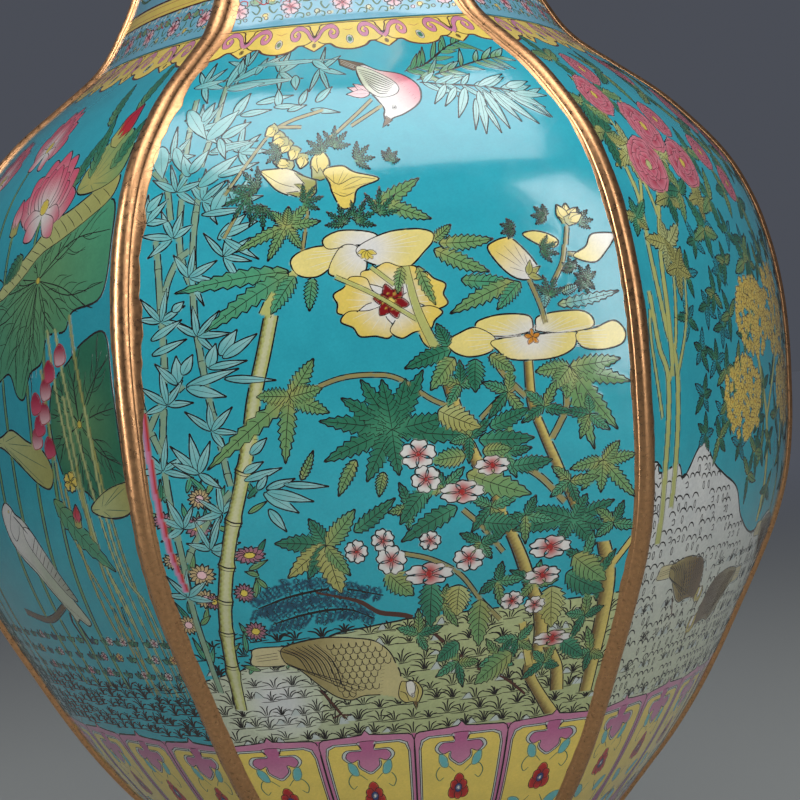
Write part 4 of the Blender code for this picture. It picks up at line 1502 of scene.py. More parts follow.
def bamboo_grove(art):
    """The bamboo along the front panel's left side: thin stems, a thick cane and pale leaves."""
    for points, joints in (
            ([(-30, 60.4), (-30, 52), (-31, 45)], (0.3, 0.7)),
            ([(-36, 58), (-34.5, 48), (-34, 40)], (0.35, 0.75)),
            ([(-40, 45), (-37, 42), (-35.5, 36)], (0.5,)),
            ([(-33.8, 45), (-33.8, 33), (-33, 28), (-31.5, 24)], (0.3, 0.7)),
            ([(-32, 30.5), (-34, 29), (-36, 24.5), (-36.7, 19), (-36.8, 13), (-37.3, 8), (-38, 2),
              (-38.7, -4), (-38.5, -14), (-38.2, -22), (-38.8, -30), (-39.3, -46)],
             (0.08, 0.2, 0.3, 0.4, 0.52, 0.64, 0.76, 0.88)),
            ([(-38, 34), (-37.3, 27), (-37, 21), (-36.8, 17)], (0.3, 0.7)),
            ([(-42, 9.5), (-41.3, 5), (-40.5, 1.5), (-39, -3)], (0.4, 0.8)),
            ([(-40.5, 1), (-38, 5), (-34, 8)], (0.5,)),
            ([(-28, -10.5), (-32, -14.5), (-36, -19.5), (-37.5, -22)], (0.4, 0.75)),
            ([(-30.5, 43), (-31.3, 33), (-31.3, 20), (-30.8, 14), (-30.2, 8), (-29.6, 3), (-28.8, -2),
              (-28.3, -7), (-27.9, -9.5)], (0.09, 0.18, 0.3, 0.43, 0.54, 0.64, 0.76, 0.9))):
        bamboo(art, points, 1.05, joints)
    for x, z, turn in ((-33, 52, 60), (-37, 47, 100), (-30, 39, 40), (-35, 33, 120), (-32, 26, 30),
                       (-37, 19, 80), (-31, 16, 50), (-37, 5, 100), (-30, 0, 40), (-39, -6, 80),
                       (-37, -16, 110), (-39, -28, 80), (-24, 47, 40), (-18, 62, 20), (-8, 62, -20),
                       (-24, 38, 60), (-26, 29, 30), (-30, -14, 140), (-36, 61, 40), (-27, 64, 160),
                       (-40, 36, 90), (-35, 41, 60), (-33, -20, 60)):
        leaf_fan(art, (x, z), turn, 5, 6.5, 190, 1.15)
    cane = [(-18.4, 18.5), (-20.2, 12), (-22.5, 4.5), (-24, -2), (-26, -9), (-29, -17.5), (-31.3, -24.8),
            (-33.2, -31.5), (-34.7, -38.5), (-36.5, -49.5)]
    thick_cane(art, cane, 2.3, (0.33, 0.42, 0.53, 0.64, 0.74, 0.84, 0.93))
    for x, z, tip_x, tip_z, width in (
            (-30, 60, -28.5, 66.5, 2), (-29, 61, -17, 66, 1.4), (-29.5, 60, -12, 60.3, 1.3),
            (-29.8, 59.5, -21, 60, 1.4), (-28, 62.5, -29, 66, 1.4), (-24, 62, -22, 65.5, 1.4),
            (-24, 64, -4, 63.8, 1), (-14, 61, -13.5, 58, 2), (-10, 63.8, -5.5, 61.5, 1.5),
            (-38, 60.5, -31, 61.5, 1.2), (-26.5, 54, -23.8, 58.2, 2.2), (-22, 56, -14, 57, 1.2),
            (-17, 55, -17.5, 58.5, 1.8), (-25, 54, -18.5, 54.5, 1.2), (-18, 55, -12, 54.8, 1),
            (-12.5, 55, -10.8, 58, 1.5), (-9, 55.3, -5.3, 58, 1.5), (-15, 54, -11, 54.8, 1),
            (-10, 53.8, -4, 52.8, 1), (-37, 56, -31, 50, 2.5), (-31, 50, -25.5, 55, 3),
            (-33, 53.5, -31.5, 57, 2), (-28, 50, -22.5, 52.5, 1.8), (-30, 47.3, -22, 49, 1.6),
            (-29.5, 47.5, -20.5, 48.8, 1), (-40, 49.5, -38, 43.5, 3), (-37, 49, -34, 44, 2),
            (-33, 43.5, -35, 47.5, 2), (-33, 44, -30, 48, 2), (-28.5, 50, -26.5, 46, 1.5),
            (-31, 41.5, -24, 46.5, 2.5), (-27.5, 43, -20, 44.8, 1.4), (-28, 36.5, -25.5, 41.5, 2.5),
            (-30, 36.5, -21.5, 36.8, 1.2), (-40, 38, -37.5, 41, 1.8), (-27, 32, -22, 36, 1.8),
            (-26.5, 32.5, -20, 34.5, 1.5), (-26, 32, -20, 28, 1.2), (-35, 20.5, -33, 22, 1.4),
            (-38.8, 16, -33.5, 19, 1.4), (-38.8, 13.5, -32.8, 15.7, 1.3), (-34.8, 8.5, -34.8, 13, 2),
            (-34, 9.8, -32, 13, 1.8), (-35, 8.2, -38.5, 12, 1.4), (-29.5, 10.5, -28, 14.5, 2),
            (-27.5, 12.5, -24.3, 16.5, 2.2), (-27, 12, -21, 15.5, 1.8), (-29.5, 10.5, -23, 11.2, 1.3),
            (-33.5, 7.8, -24.5, 10, 1.6), (-33.5, 7.5, -27, 5.5, 2), (-27, 8.5, -18.5, 7.5, 1.3),
            (-33, -7, -37.3, -2, 1.5), (-33, -7, -33.8, -0.2, 1.7), (-33, -7, -30.5, -1.7, 1.5),
            (-33, -7, -37.5, -4.8, 1.3), (-33, -7, -29.5, -9.8, 1.4), (-24, -4.5, -21, -2, 1.6),
            (-25.5, -7.5, -22, -5.9, 1.4), (-25.5, -8.8, -19, -7.2, 1.4), (-23.5, -10.5, -21.5, -8.2, 1.3),
            (-22, -10.5, -17, -9.2, 1.3), (-19, -10, -11.5, -11, 1.2), (-22.5, -11.2, -17, -15, 2),
            (-22, -11, -14.3, -13.3, 1.8), (-22, -14, -19.5, -18, 1.6)):
        slim_leaf(art, (x, z), (tip_x, tip_z), width)


def front_upper(art):
    """Bird, buds, spiky white sprays and hibiscus in the upper part of the front panel."""
    leafy_twig(art, [(12, 60), (17, 61), (25, 64.5), (32, 66.5)], 9, 6.0, 0.9, LEAF_DARK, LEAF_MID)
    leafy_twig(art, [(14, 58), (22, 59.5), (32, 61.5), (38, 62)], 9, 5.5, 0.9, LEAF_MID, BAMBOO_LEAF_PALE)
    leafy_twig(art, [(14.5, 57.5), (20, 56.8), (27, 56), (33, 54.8), (38, 53)], 9, 5.5, 1.0, BAMBOO_LEAF,
               BAMBOO_LEAF_PALE)
    for x, z, tip_x, tip_z, width in (
            (24, 55.8, 19.8, 50, 1.7), (22, 56, 18.0, 52.4, 1.3), (26.5, 55, 24, 46.6, 1.9),
            (25, 53.5, 22.2, 47.5, 1.1), (27.5, 55, 29, 47.3, 1.9), (29, 54.8, 32, 48.5, 1.5),
            (30, 54.5, 35.2, 47.9, 1.7), (32, 54.5, 38.2, 49, 1.3), (33, 54.4, 38.5, 51, 1.5),
            (34, 54.2, 40.4, 53.3, 1.4), (33, 55.5, 38.5, 56.4, 1.5), (27, 56, 34, 58.2, 1.2),
            (20, 56.6, 16, 53, 1.3), (26.2, 52, 27, 46.6, 1.1)):
        slim_leaf(art, (x, z), (tip_x, tip_z), width, BAMBOO_LEAF_PALE, 0.2)
    for points in ([(3, 54.8), (-5, 49), (-7, 47.5)], [(5, 53.5), (-2, 50)],
                   [(-7.5, 53.5), (-14, 52), (-18, 50), (-22, 45), (-26, 39.5)], [(-12, 50.6), (-17, 51)],
                   [(-20, 41), (-23, 37), (-26, 32)], [(-10.5, 40), (-11.4, 34), (-12.5, 28.5)]):
        stem(art, points, 0.62, TWIG, 0.2)
    for x, z in ((-1.8, 57.5), (-0.5, 58.2), (-2.2, 56.2)):
        slim_leaf(art, (2.8, 56), (x, z), 1.6, ROSE_PALE, 0.2)
    perched_bird(art)
    for share in np.linspace(0, 1, 5):
        spot = (-17 + 5.5 * share, 51 - 5.5 * share)
        bud(art, spot, 215 + 40 * share, 2.6, 2.2)
    bud(art, (-14.6, 48.2), 185, 3.4, 1.8)
    bud(art, (-13.6, 43.6), 165, 3.8, 1.8)
    bud(art, (-10.2, 38.9), 156, 10.2, 4.2, CREAM, YELLOW_PALE)
    bud(art, (-8.6, 41.0), 88, 5.4, 3.4)
    art.shape([(-8, 42.3), (-4.5, 42.8), (-2.3, 41.5), (2, 40), (-2, 38.5), (-3, 36), (-5, 35.3), (-6.5, 38),
               (-7, 40)],
              along((-6, 37), (-2, 42), YELLOW, CREAM), 0.28)
    art.curve([(-7.6, 41.4), (-5.4, 39.6), (-2.4, 40.6), (1.4, 40.0)], 0.22)
    art.curve([(-6.6, 38.4), (-4.6, 37.4), (-2.6, 38.0)], 0.22)
    petal_lines(art, (-6.2, 38.4), smooth_line([(-8, 42.3), (-4.5, 42.8), (-2.3, 41.5), (2, 40), (-2, 38.5),
                                                (-3, 36)],
                                               steps=4), 8, 0.12, "brown")
    front_leaves_upper(art)
    front_hibiscus(art)


def front_leaves_upper(art):
    """The saw-edged leaves round the hibiscus."""
    stem(art, [(-19.5, 18.4), (-18, 21.3), (-16, 23.5), (-13.6, 25.4)], 2.1, CANE, 0.26, 0.6)
    for x, z, tip_x, tip_z, width, tone in (
            (-15, 25.5, -34.5, 23.5, 2.8, 0), (-15, 25, -29.8, 16.5, 3.2, 0),
            (-14, 24.5, -18.5, 18.5, 2.8, 0), (-11, 24, -12, 18.5, 2.2, 0), (0, 35, 9.2, 39.5, 2.8, 1),
            (2, 36, 10.3, 32.3, 2.6, 1), (10, 28.5, 13.5, 31, 2.0, 1), (11, 28, 20.5, 28, 2.6, 1),
            (10, 27, 19, 22.5, 2.8, 1), (14, 21.5, 23, 20.5, 2.6, 0), (23, 20.5, 11.5, 16, 2.8, 1),
            (24, 20.3, 19.5, 16, 2.4, 0), (30, 16, 41, 17.5, 2.0, 2), (28.5, 19, 27.5, 15.5, 1.8, 2),
            (31, 18, 34, 19, 1.6, 2)):
        light, dark = ((LEAF_MID, LEAF_DARK), (LEAF_OLIVE, LEAF_MID), (LEAF_LIGHT, BAMBOO_LEAF))[tone]
        long_leaf(art, (x, z), (tip_x, tip_z), width * 1.05, light, dark, sharp=0.5, teeth=9)
    for at, tips in (((-15, 33.3), ((-18, 36), (-14.5, 36.5), (-9, 33.5), (-24, 29.5), (-18.5, 27.5),
                                    (-12.5, 29), (-10.5, 37))),):
        finger_leaf(art, at, tips, 2.0, LEAF_OLIVE, LEAF_MID)
    for x, z, turn, reach in ((-20, 40, 150, 5.0), (-21.5, 39, 215, 5.5), (-6, 46.4, 60, 4.2),
                              (-8, 45.5, 120, 4.0), (-2, 43.8, 20, 4.0), (4.2, 43, 60, 2.6),
                              (-19, 37, 250, 4.5), (-12, 37, 30, 4.0), (-3, 33, 40, 4.5), (1, 34, 60, 5.0),
                              (-5, 32.5, 120, 4.0), (-16, 46.5, 200, 3.5)):
        leaf_spray(art, x, z, turn, reach)


def front_hibiscus(art):
    """The three white hibiscus of the middle, and their buds."""
    stem(art, [(0, 24.5), (3, 21), (5.5, 17), (7, 12), (9, 10), (9.8, 5), (10.5, 1)], 1.3, BARK_LIGHT, 0.24)
    heart = (-1.6, 28)
    for outline in (
            [(-14.6, 27), (-13, 28.5), (-9.5, 29.2), (-6.3, 28.5), (-8, 25.5), (-10.5, 24.1), (-13.5, 24.7)],
            [(-8.8, 30.3), (-6, 31.5), (-2, 31.2), (0.5, 30.3), (0, 28.8), (-4, 28.9), (-8, 28.6)],
            [(-6, 28.7), (-8.3, 25), (-7, 23.8), (-4, 23.3), (-2, 24.5), (-1.8, 26.5), (-3.3, 28.8)],
            [(-3, 28.5), (-2.5, 26.5), (0.5, 25), (5, 24.3), (8.5, 27), (10, 28.5), (10, 30), (7, 30.8),
             (2, 30.5)]):
        petal(art, outline, heart, WHITE, CREAM, 8.5, 12, fine="white")
    hibiscus_open(art, (1.8, 18.9), 9.6, 15, 0.66, WHITE)
    stem(art, [(-7.2, 23.8), (-1.1, 20.4), (6.2, 15.2)], 0.75, CANE, 0.22)
    stem(art, [(-1.1, 25), (2.6, 21.6)], 0.75, CANE, 0.22)
    stem(art, [(9.8, 5), (8.6, 10), (6.7, 15), (5.6, 19), (4.8, 24.6)], 1.7, CANE, 0.24, 0.7)
    for base, tip in (((6.9, 24.4), (9.2, 17.6)), ((4.2, 24.5), (3.0, 20.0))):
        long_leaf(art, base, tip, 2.1, LEAF_OLIVE, LEAF_MID, sharp=0.5, teeth=7)
    heart = (25, 10.9)
    for outline in (
            [(15.5, 12.8), (16, 14.3), (20, 15.1), (24.5, 14.6), (25.3, 13), (24.5, 11.8), (20, 11.4),
             (16, 12.2)],
            [(25.8, 12.8), (26.3, 14.2), (30, 14.8), (34, 14.6), (35.8, 13.2), (35.3, 11.6), (30.5, 11.2),
             (26, 11.8)],
            [(10.5, 11.3), (12.5, 12.5), (15.5, 13.3), (18.5, 11.5), (18.5, 9.8), (17, 8.8), (14, 8.5),
             (11.5, 9.5)],
            [(32.5, 11), (36, 11.5), (39.5, 12.5), (41.3, 10.5), (40.5, 8.5), (37, 7.8), (33.5, 8.5)],
            [(18.7, 11), (19, 9), (21, 7.5), (25, 7), (29, 7.2), (32, 8.5), (32.5, 10.5), (31.5, 11.2)]):
        petal(art, outline, heart, YELLOW_PALE, CREAM, 7.0, 15, fine="white")
    for turn in (0, 72, 144, 216, 288):
        art.shape(turned([(0, 0), (0.8, 0.4), (1.4, 0), (0.8, -0.4)], heart, turn + 20),
                  LEMON * [0.9, 0.45, 0.3], 0.16)
        art.shape(turned([(0, 0), (0.9, 0.4), (1.7, 0), (0.9, -0.4)], (-1.4, 27.8), turn * 0.5 + 190), LEMON,
                  0.14)
    for points in ([(29.5, 19.5), (31.8, 23), (32.8, 26)], [(25.5, 21), (27, 16), (27.5, 13)],
                   [(33, 26), (34, 29.5)], [(33, 24.5), (35, 24.2)]):
        stem(art, points, 0.8, TWIG, 0.2)
    art.shape([(19.3, 26.3), (20.5, 27.5), (23.2, 28), (25, 26.5), (26.8, 24), (27.5, 22), (26, 20.7),
               (23.5, 21), (21.2, 23)], along((26, 21), (20, 27), WHITE, YELLOW), 0.28)
    petal_lines(art, (26, 21.6), [(19.6, 26.6), (21.5, 27.6), (23.6, 27.6), (25.4, 25.6), (22, 23.2)], 5,
                0.13)
    art.shape([(25.8, 28.3), (28, 28.8), (30.5, 28), (31.8, 26.8), (31, 25.8), (29, 26)], CREAM, 0.26)
    art.shape([(34, 24), (36.5, 25.5), (38, 27.5), (41.5, 27.5), (42, 26.8), (40, 24.5), (37.5, 22.7)],
              along((35, 24), (41, 27), CREAM, YELLOW_PALE), 0.26)
    for x, z, turn, reach in ((28.5, 25.6, 0, 3.4), (35.5, 19.8, 90, 2.8), (35.5, 19.8, 250, 2.6),
                              (30.5, 31, 150, 2.8), (36, 30, 20, 3.0), (28.6, 17.6, 80, 3.8),
                              (24.4, 29.4, 175, 2.6), (33.4, 21.6, 120, 2.4)):
        leaf_spray(art, x, z, turn, reach)
    for turn in (80, 45, 110, 20):
        bud(art, (34, 30), turn, 3.2, 1.9, CREAM, LEMON)
    for turn in (30, -20, 75):
        slim_leaf(art, (25.6, 21.4), reached((25.6, 21.4), turn, 2.6), 1.2, LEAF_OLIVE, 0.2)


def front_middle(art):
    """Palmate and saw-edged leaves in the middle of the front panel, with trunks and small flowers."""
    stem(art, [(-15, 4.6), (-8, 6.8), (-2, 6.9), (2, 5.8), (7, 2), (11, 0)], 0.8, TWIG, 0.2)
    trunk(art, [(8.9, 5), (9.8, 1), (10.9, -4), (12.6, -9), (15.4, -14)],
          [(10.9, 5), (11.8, 1), (13.1, -4), (15.0, -9), (17.6, -13.6)], marks=14, line=0.24)
    trunk(art, [(23.2, 7), (23.2, 0), (24.7, -5), (26.1, -9), (28.2, -14), (30.2, -18.8)],
          [(24.6, 7), (24.8, 0), (26.3, -5), (27.9, -9), (29.9, -14), (31.9, -18.4)], marks=14, line=0.24)
    for points, width in (([(30, 5), (30, -1), (28.6, -4), (27, -6.5)], 1.1),
                          ([(21, -10), (25, -13), (29, -17.5)], 1.1),
                          ([(17.5, 8.5), (20, 4.5), (23, 1)], 1.0), ([(15, -2), (18, 0.6), (21, 2.5)], 0.8),
                          ([(0, -23.5), (5, -25), (10, -28), (14, -33), (18, -37)], 0.8),
                          ([(11, -17), (14, -20), (18, -25)], 0.9)):
        stem(art, points, width, TWIG, 0.22)
    finger_leaf(art, (-16.5, 4.5), ((-12, 10.5), (-11, 5.5), (-10.2, 1.3), (-18.3, -6.5), (-31.5, -6.5),
                                    (-22, 5)), 3.0,
                LEAF_OLIVE, LEAF_MID)
    finger_leaf(art, (0, -2.5), ((-12, 0), (-11.8, -6.8), (-5, -10.8), (0.5, -10.2), (-8, 3.5), (-4.5, 6.3),
                                 (-1, 6), (3, 5.8), (6, 7), (13.5, -4.7), (10, -1)), 3.4, LEAF_DARK, PINE)
    finger_leaf(art, (31, 5.3), ((25, 5), (27.5, 1.5), (30, 0), (34.5, -9), (38.8, -6), (41.5, 2), (40, 6)),
                3.2, LEAF_LIGHT, LEAF_MID)
    finger_leaf(art, (36, -11), ((39, -8), (42, -10.5), (30, -12), (32, -15.8), (35.5, -16.5), (42, -18)),
                2.4, LEAF_OLIVE, LEAF_MID)
    finger_leaf(art, (30.5, -20.5), ((23, -18), (19.5, -21.5), (28, -24.5), (35, -25.5), (37, -22.5),
                                     (38, -18), (33, -16.5)), 2.8, LEAF_DARK, PINE)
    scatter_leaves(art, ((13, -5), (19, -8), (16, -17), (22, -19), (8, -13), (2, -16), (14, -23), (30, -14),
                         (34, -3), (26, -1), (20, 2), (12, 4), (33, -28), (24, -31), (38, -22), (17, -30),
                         (7, -33), (22, -41), (35, -38), (38, -45), (18, -44), (28, -46), (10, -44), (2, -38),
                         (36, -31)), 4.6, 2.0,
                   ((LEAF_DARK, PINE), (LEAF_OLIVE, LEAF_MID), (LEAF_MID, LEAF_DARK)), each=4)
    for x, z, tip_x, tip_z, width, tone in (
            (-13, -21, -21.8, -19.9, 3, 0), (-13, -21, -15.5, -16.2, 2.5, 0), (-13, -21, -7.5, -15.3, 3, 1),
            (-13, -21, -20.5, -26, 3, 2), (-13, -21, -17, -26.5, 2.4, 0), (-13, -21, -11.5, -29.5, 4.5, 2),
            (-13, -21, -9.5, -26.5, 2.4, 1), (-8, -19, -0.5, -14, 2.4, 0), (-6.5, -7, -10, -12.8, 2, 1),
            (-2, -9.5, -3.2, -13.5, 1.8, 1), (-16, -9.5, -13.5, -4.8, 1.4, 1), (-3, -26.5, 1.5, -31, 4, 1),
            (5, -13, 0, -18.5, 3, 0), (12, -11, 23, -15.5, 4, 1), (8, 0, 15, -3.5, 4, 2),
            (16.5, -3.5, 23.5, -1, 2.6, 0), (14.5, -5.5, 24, -6, 3, 0), (15, -7.5, 20, -7.5, 2.4, 1),
            (20, -10.5, 27, -10, 2.6, 0), (12, -8, 6, -8.5, 3, 1), (10, -16.5, 0, -21.5, 3, 0),
            (14.5, -19.5, 21, -20.5, 3.5, 0), (27.5, -32, 28.5, -39.5, 5, 2), (30, -30, 38, -34, 4, 0),
            (31, -27, 38, -32, 4, 1), (5, -29, 4.5, -37, 4, 0), (10, -30, 9.5, -35.5, 4.5, 2),
            (14, -33, 14, -41.5, 4, 1), (10, -40.5, 5.5, -43.5, 3, 0), (21, -43.5, 13.5, -48.5, 4, 1),
            (31, -42, 36.5, -45.5, 3, 0), (11, 10, 3, 7.5, 2.6, 0), (10.5, 10.5, 9, 14.5, 2.2, 0),
            (11.5, 8.5, 7, 3.5, 2.8, 1), (15, 8, 14.5, 2.5, 3, 0), (17.5, 8.5, 21.5, 5.5, 2.4, 1)):
        light, dark = ((LEAF_DARK, PINE), (LEAF_OLIVE, LEAF_MID), (LEAF_LIGHT, LEAF_OLIVE))[tone]
        long_leaf(art, (x, z), (tip_x, tip_z), width * 1.12, light, dark, teeth=8, sharp=0.4)
    for x, z, width, height, turn in (
            (4, -7, 5.5, 4.5, 10), (5, -11.3, 4.5, 4.2, 40), (11, -14, 7, 3.5, 0), (16.5, -10, 5.5, 3, 20),
            (-8, -22.5, 3.6, 3.6, 0), (-3.2, -21, 3.6, 3.6, 30), (-2, -24.5, 4.8, 4.6, 10),
            (5, -21.8, 3.4, 3, 0), (4.5, -27.5, 8, 3.5, 0), (11.8, -25.5, 5, 4, 20), (26.5, -25, 7, 3.5, 0),
            (25.5, -29.8, 6, 3, 30), (20, -33.8, 4, 3, 0), (24.5, -35, 3.6, 2.8, 15), (29, -41.5, 7, 2.5, 0)):
        little_flower(art, (x, z), width / 2 * 1.08, turn, height / width, WHITE, RED)


def front_bank(art):
    """The grassy bank at the foot of the front garden, with its quail, asters, fern and roots."""
    bank = np.array([(-46, -44.5), (-36, -42.5), (-30, -41.2), (-25, -41.8), (-15, -37), (-8, -36),
                     (-2, -35.4), (5, -35), (46, -34.5), (46, -56.6), (-46, -56.6)])

    def tone(x, z):
        share = np.clip((x + 36) / 34, 0, 1)[..., None]
        high = np.clip((z + 56) / 22, 0, 1)[..., None]
        flat = GRASS_PALE * (1 - share) + GRASS * share
        return flat * (0.88 + 0.14 * high)
    art.fill(bank, tone, raised=0.015, mottle=0.09)
    pale = np.array([(-36, -44), (-30, -42.3), (-24, -42.6), (-20, -44), (-19, -50), (-22, -54.5),
                     (-30, -55.4), (-36, -53)])
    art.fill(smooth_line(pale, closed=True), rounded((-28, -48.5), 8.5, BANK_WHITE, GRASS_PALE, 0.2),
             raised=0.02)
    art.curve([(-46, -44.5), (-36, -42.5), (-30, -41.2), (-25, -41.8), (-15, -37), (-8, -36), (-2, -35.4),
               (5, -35), (44, -34.5)], 0.26, "ink", 0.8)
    grass_rows(art, -42, 42, -56.2, -37.2, 2.7, 4.0, 2.3, 1.6, 0.12)
    curly_fern(art, [(-27, -31), (-20, -29.2), (-12, -28.6), (-4, -30.5)], 2.6, 20)
    curly_fern(art, [(-25, -34), (-18, -32.6), (-11, -32.4), (-6, -34.5)], 2.4, 15)
    art.curve([(-16, -29), (-9, -31), (-5, -33.5), (1, -35), (7, -40), (14, -45.5), (20, -48), (25, -51.5)],
              0.7, "brown", 0.6)
    trunk(art, [(15.6, -13), (16.6, -18), (19, -23.5), (20.4, -27), (21.9, -31), (24.3, -36), (25.2, -42),
                (23.8, -47), (26.2, -51), (30.4, -56)],
          [(17.4, -13), (18.6, -18), (21.2, -23.5), (22.8, -27), (24.4, -31), (26.9, -36), (27.9, -42),
           (26.4, -47), (29, -51), (34, -56)], marks=34)
    trunk(art, [(27.4, -43), (29.8, -47), (30.7, -51.5)], [(29.8, -43), (32.4, -47), (33.6, -51.5)], marks=8)
    trunk(art, [(35.2, -25), (36.5, -30), (37.3, -38), (37.6, -52.5)],
          [(37.6, -25), (39.4, -30), (40.2, -38), (40.4, -52.5)], marks=20)
    for points, width in (([(22.5, -38), (24, -43), (25, -46)], 1.4), ([(39, -29), (42, -25)], 1.1)):
        stem(art, points, width, BARK_LIGHT, 0.24)


def front_asters(art):
    """The asters at the bamboo's foot, over small pointed leaves."""
    for i in range(46):
        x = art.random.uniform(-41, -24)
        z = art.random.uniform(-43, -9)
        turn = art.random.choice([60, 75, 105, 120, 30, 150]) + art.random.uniform(-12, 12)
        long = art.random.uniform(2.4, 4.4)
        slim_leaf(art, (x, z), reached((x, z), turn, long), 0.9, (PINE, LEAF_DARK, LEAF_MID)[i % 3], 0.18)
    for x, z, size, squash, tone in (
            (-33.5, -11.2, 2, 0.9, 0), (-34.5, -16, 2.4, 0.8, 1), (-40, -21.5, 1.7, 0.9, 0),
            (-35.5, -24.3, 2.5, 0.8, 0), (-26.5, -21.5, 2.8, 0.55, 1), (-36, -28.5, 2.0, 0.9, 0),
            (-34.5, -29.2, 1.6, 0.9, 1), (-28.8, -28, 1.9, 0.9, 1), (-40.5, -33, 2.0, 0.9, 0),
            (-28.5, -35, 2.2, 0.8, 1), (-40.3, -14.5, 1.8, 0.9, 1)):
        aster(art, (x, z), size, LEMON if tone else ROSE_PALE,
              (ASTER, blend_colour(MAUVE_PALE, BARK, 0.45))[tone], squash=squash)


def front_garden(art, number):
    """The front panel: bamboo, bird and hibiscus over a bank with a quail."""
    front_bank(art)
    front_asters(art)
    quail(art)
    bamboo_grove(art)
    front_upper(art)
    front_middle(art)
    rule = np.linspace(4, -27, 14)
    edge = -half_width(rule)
    for first, last, shade in ((2.3, 3.1, MAUVE_PALE), (2.9, 3.4, RED)):
        near = np.column_stack([edge + first, rule])
        far = np.column_stack([edge + last, rule])
        art.fill(np.vstack([near, far[::-1]]), shade)


def paint_neck(number):
    """Fine scrolls at the joint, then a lotus scroll up the neck and cloud heads under the lip."""
    art = Painting(BODY_HIGH, NECK_HIGH, quick_pitch(0.42), NECK_BLUE, 60 + number, quick_pitch(1.1),
                   true_width=True)
    for k in range(-2, 3):
        scroll_flower(art, (9.6 * k, 76.4), 1.7, 0.9, 0, ROSE_PALE, ROSE)
        dot(art, (9.6 * k + 4.8, 75.0), 0.5, YELLOW, 0.14)
        art.curve([(9.6 * k + 3.2, 78.6), (9.6 * k + 4.8, 77.4), (9.6 * k + 6.4, 78.6)], 0.26, "rose", 0.4)
    for k in range(-5, 6):
        for z, tone in ((74.0, "green"), (77.6, "rose"), (79.2, "pale")):
            x = 3.9 * k + (1.6 if tone == "rose" else 0.0)
            art.curve([(x - 1.3, z), (x - 0.6, z + 0.9), (x + 0.4, z + 0.7), (x + 0.3, z - 0.1),
                       (x - 0.2, z + 0.1)],
                      0.2, tone, 0.5)
            dot(art, (x + 1.3, z + 0.5), 0.36, (ROSE_PALE, LEAF_MID, YELLOW)[k % 3], 0.12, "brown")
    neck_stripe(art, 80.2, 83.2, YELLOW)
    stalk = [(0, 84), (5, 94), (2, 104), (-5, 114), (-2, 126), (4, 137), (1, 148), (-4, 158), (-1, 170),
             (3, 180), (0, 190)]
    stem(art, stalk, 0.9, LEAF_MID, 0.22)
    for i, (x, z) in enumerate(((4.6, 92), (-4.2, 101), (-5.5, 118), (4.6, 128), (4.4, 142), (-4.0, 152),
                                (-4.2, 163), (3.2, 174), (3.0, 184))):
        hand = 1 if x < 0 else -1
        for turn, size in ((60, 10.5), (-20, 8.6), (120, 7.0)):
            base = (x * 0.6, z)
            long = size * (0.85 if abs(z - 150) < 30 else 1.0)
            long_leaf(art, base, reached(base, 90 - hand * (90 - turn), long), 3.4,
                      (LEAF_MID, LEAF_OLIVE)[i % 2], LEAF_DARK)
    for i, z in enumerate(np.arange(88, 193, 5.2)):
        reach = min(half_width(z) - 3.0, 15)
        for hand in (1, -1):
            x = hand * reach
            art.curve([(x * 0.25, z - 2), (x * 0.7, z - 2.6), (x, z - 0.4), (x * 0.86, z + 1.6),
                       (x * 0.66, z + 0.6), (x * 0.76, z - 0.4)], 0.42, ("green", "rose")[i % 2], 0.5)
            slim_leaf(art, (x * 0.55, z - 2.4), (x * 0.62, z + 1.8), 1.6, (LEAF_MID, PINE)[i % 2])
            if i % 2 == 0:
                little_flower(art, (x * 0.84, z + 0.4), 1.5, 20 * i, 1.0, (YELLOW, ROSE_PALE, WHITE)[i % 3],
                              RED, 5, 0.18)
            else:
                dot(art, (x * 0.84, z + 0.2), 0.7, (MAUVE_PALE, LEMON)[i // 2 % 2], 0.16)
    for x, z, size, tone in ((0.5, 97, 6.2, ROSE_PALE), (-0.5, 122, 5.4, YELLOW), (0.4, 146, 4.6, ROSE_PALE),
                             (-0.2, 168, 4.4, YELLOW), (0.2, 186.5, 4.4, MAUVE_PALE)):
        many_petals(art, (x, z), size * 1.3, 90, 8, 0.95, tone * [0.85, 0.42, 0.5], tone, LEMON)
    for k in range(-2, 3):
        centre = 9.2 * k
        head = ((-4.4, 203.5), (-4.2, 200.2), (-2.6, 198.2), (0, 195.8), (2.6, 198.2), (4.2, 200.2),
                (4.4, 203.5))
        art.shape(shifted(head, centre), along((centre, 196), (centre, 203), MAUVE, YELLOW), 0.4, "brown")
        inner = scaled(((-4.2, 203), (-3.6, 200.2), (0, 196.2), (3.6, 200.2), (4.2, 203)), 201.2, 0.55)
        art.shape(shifted(inner, centre), MAUVE_PALE, 0.24, "brown")
        dot(art, (centre, 201.6), 0.8, PINE, 0.16)
        dot(art, (centre + 4.6, 197.6), 0.6, RED, 0.16)
    neck_stripe(art, 203.5, 207.2, YELLOW)
    for k in range(-6, 7):
        dot(art, (4.2 * k, 209.8), 0.85, ROSE_PALE, 0.2)
        dot(art, (4.2 * k, 209.8), 0.35, RED, 0.0)
    return art


def neck_stripe(art, low, high, shade):
    """A plain stripe between two pairs of lines."""
    reach = 40
    art.fill(np.array([(-reach, low), (reach, low), (reach, high), (-reach, high)]), shade)
    for z, width, ink in ((low, 0.42, "brown"), (high, 0.42, "brown"), (low + 0.8, 0.16, "rose"),
                          (high - 0.8, 0.16, "rose")):
        art.line([(-reach, z), (0, z), (reach, z)], width, ink, 1)


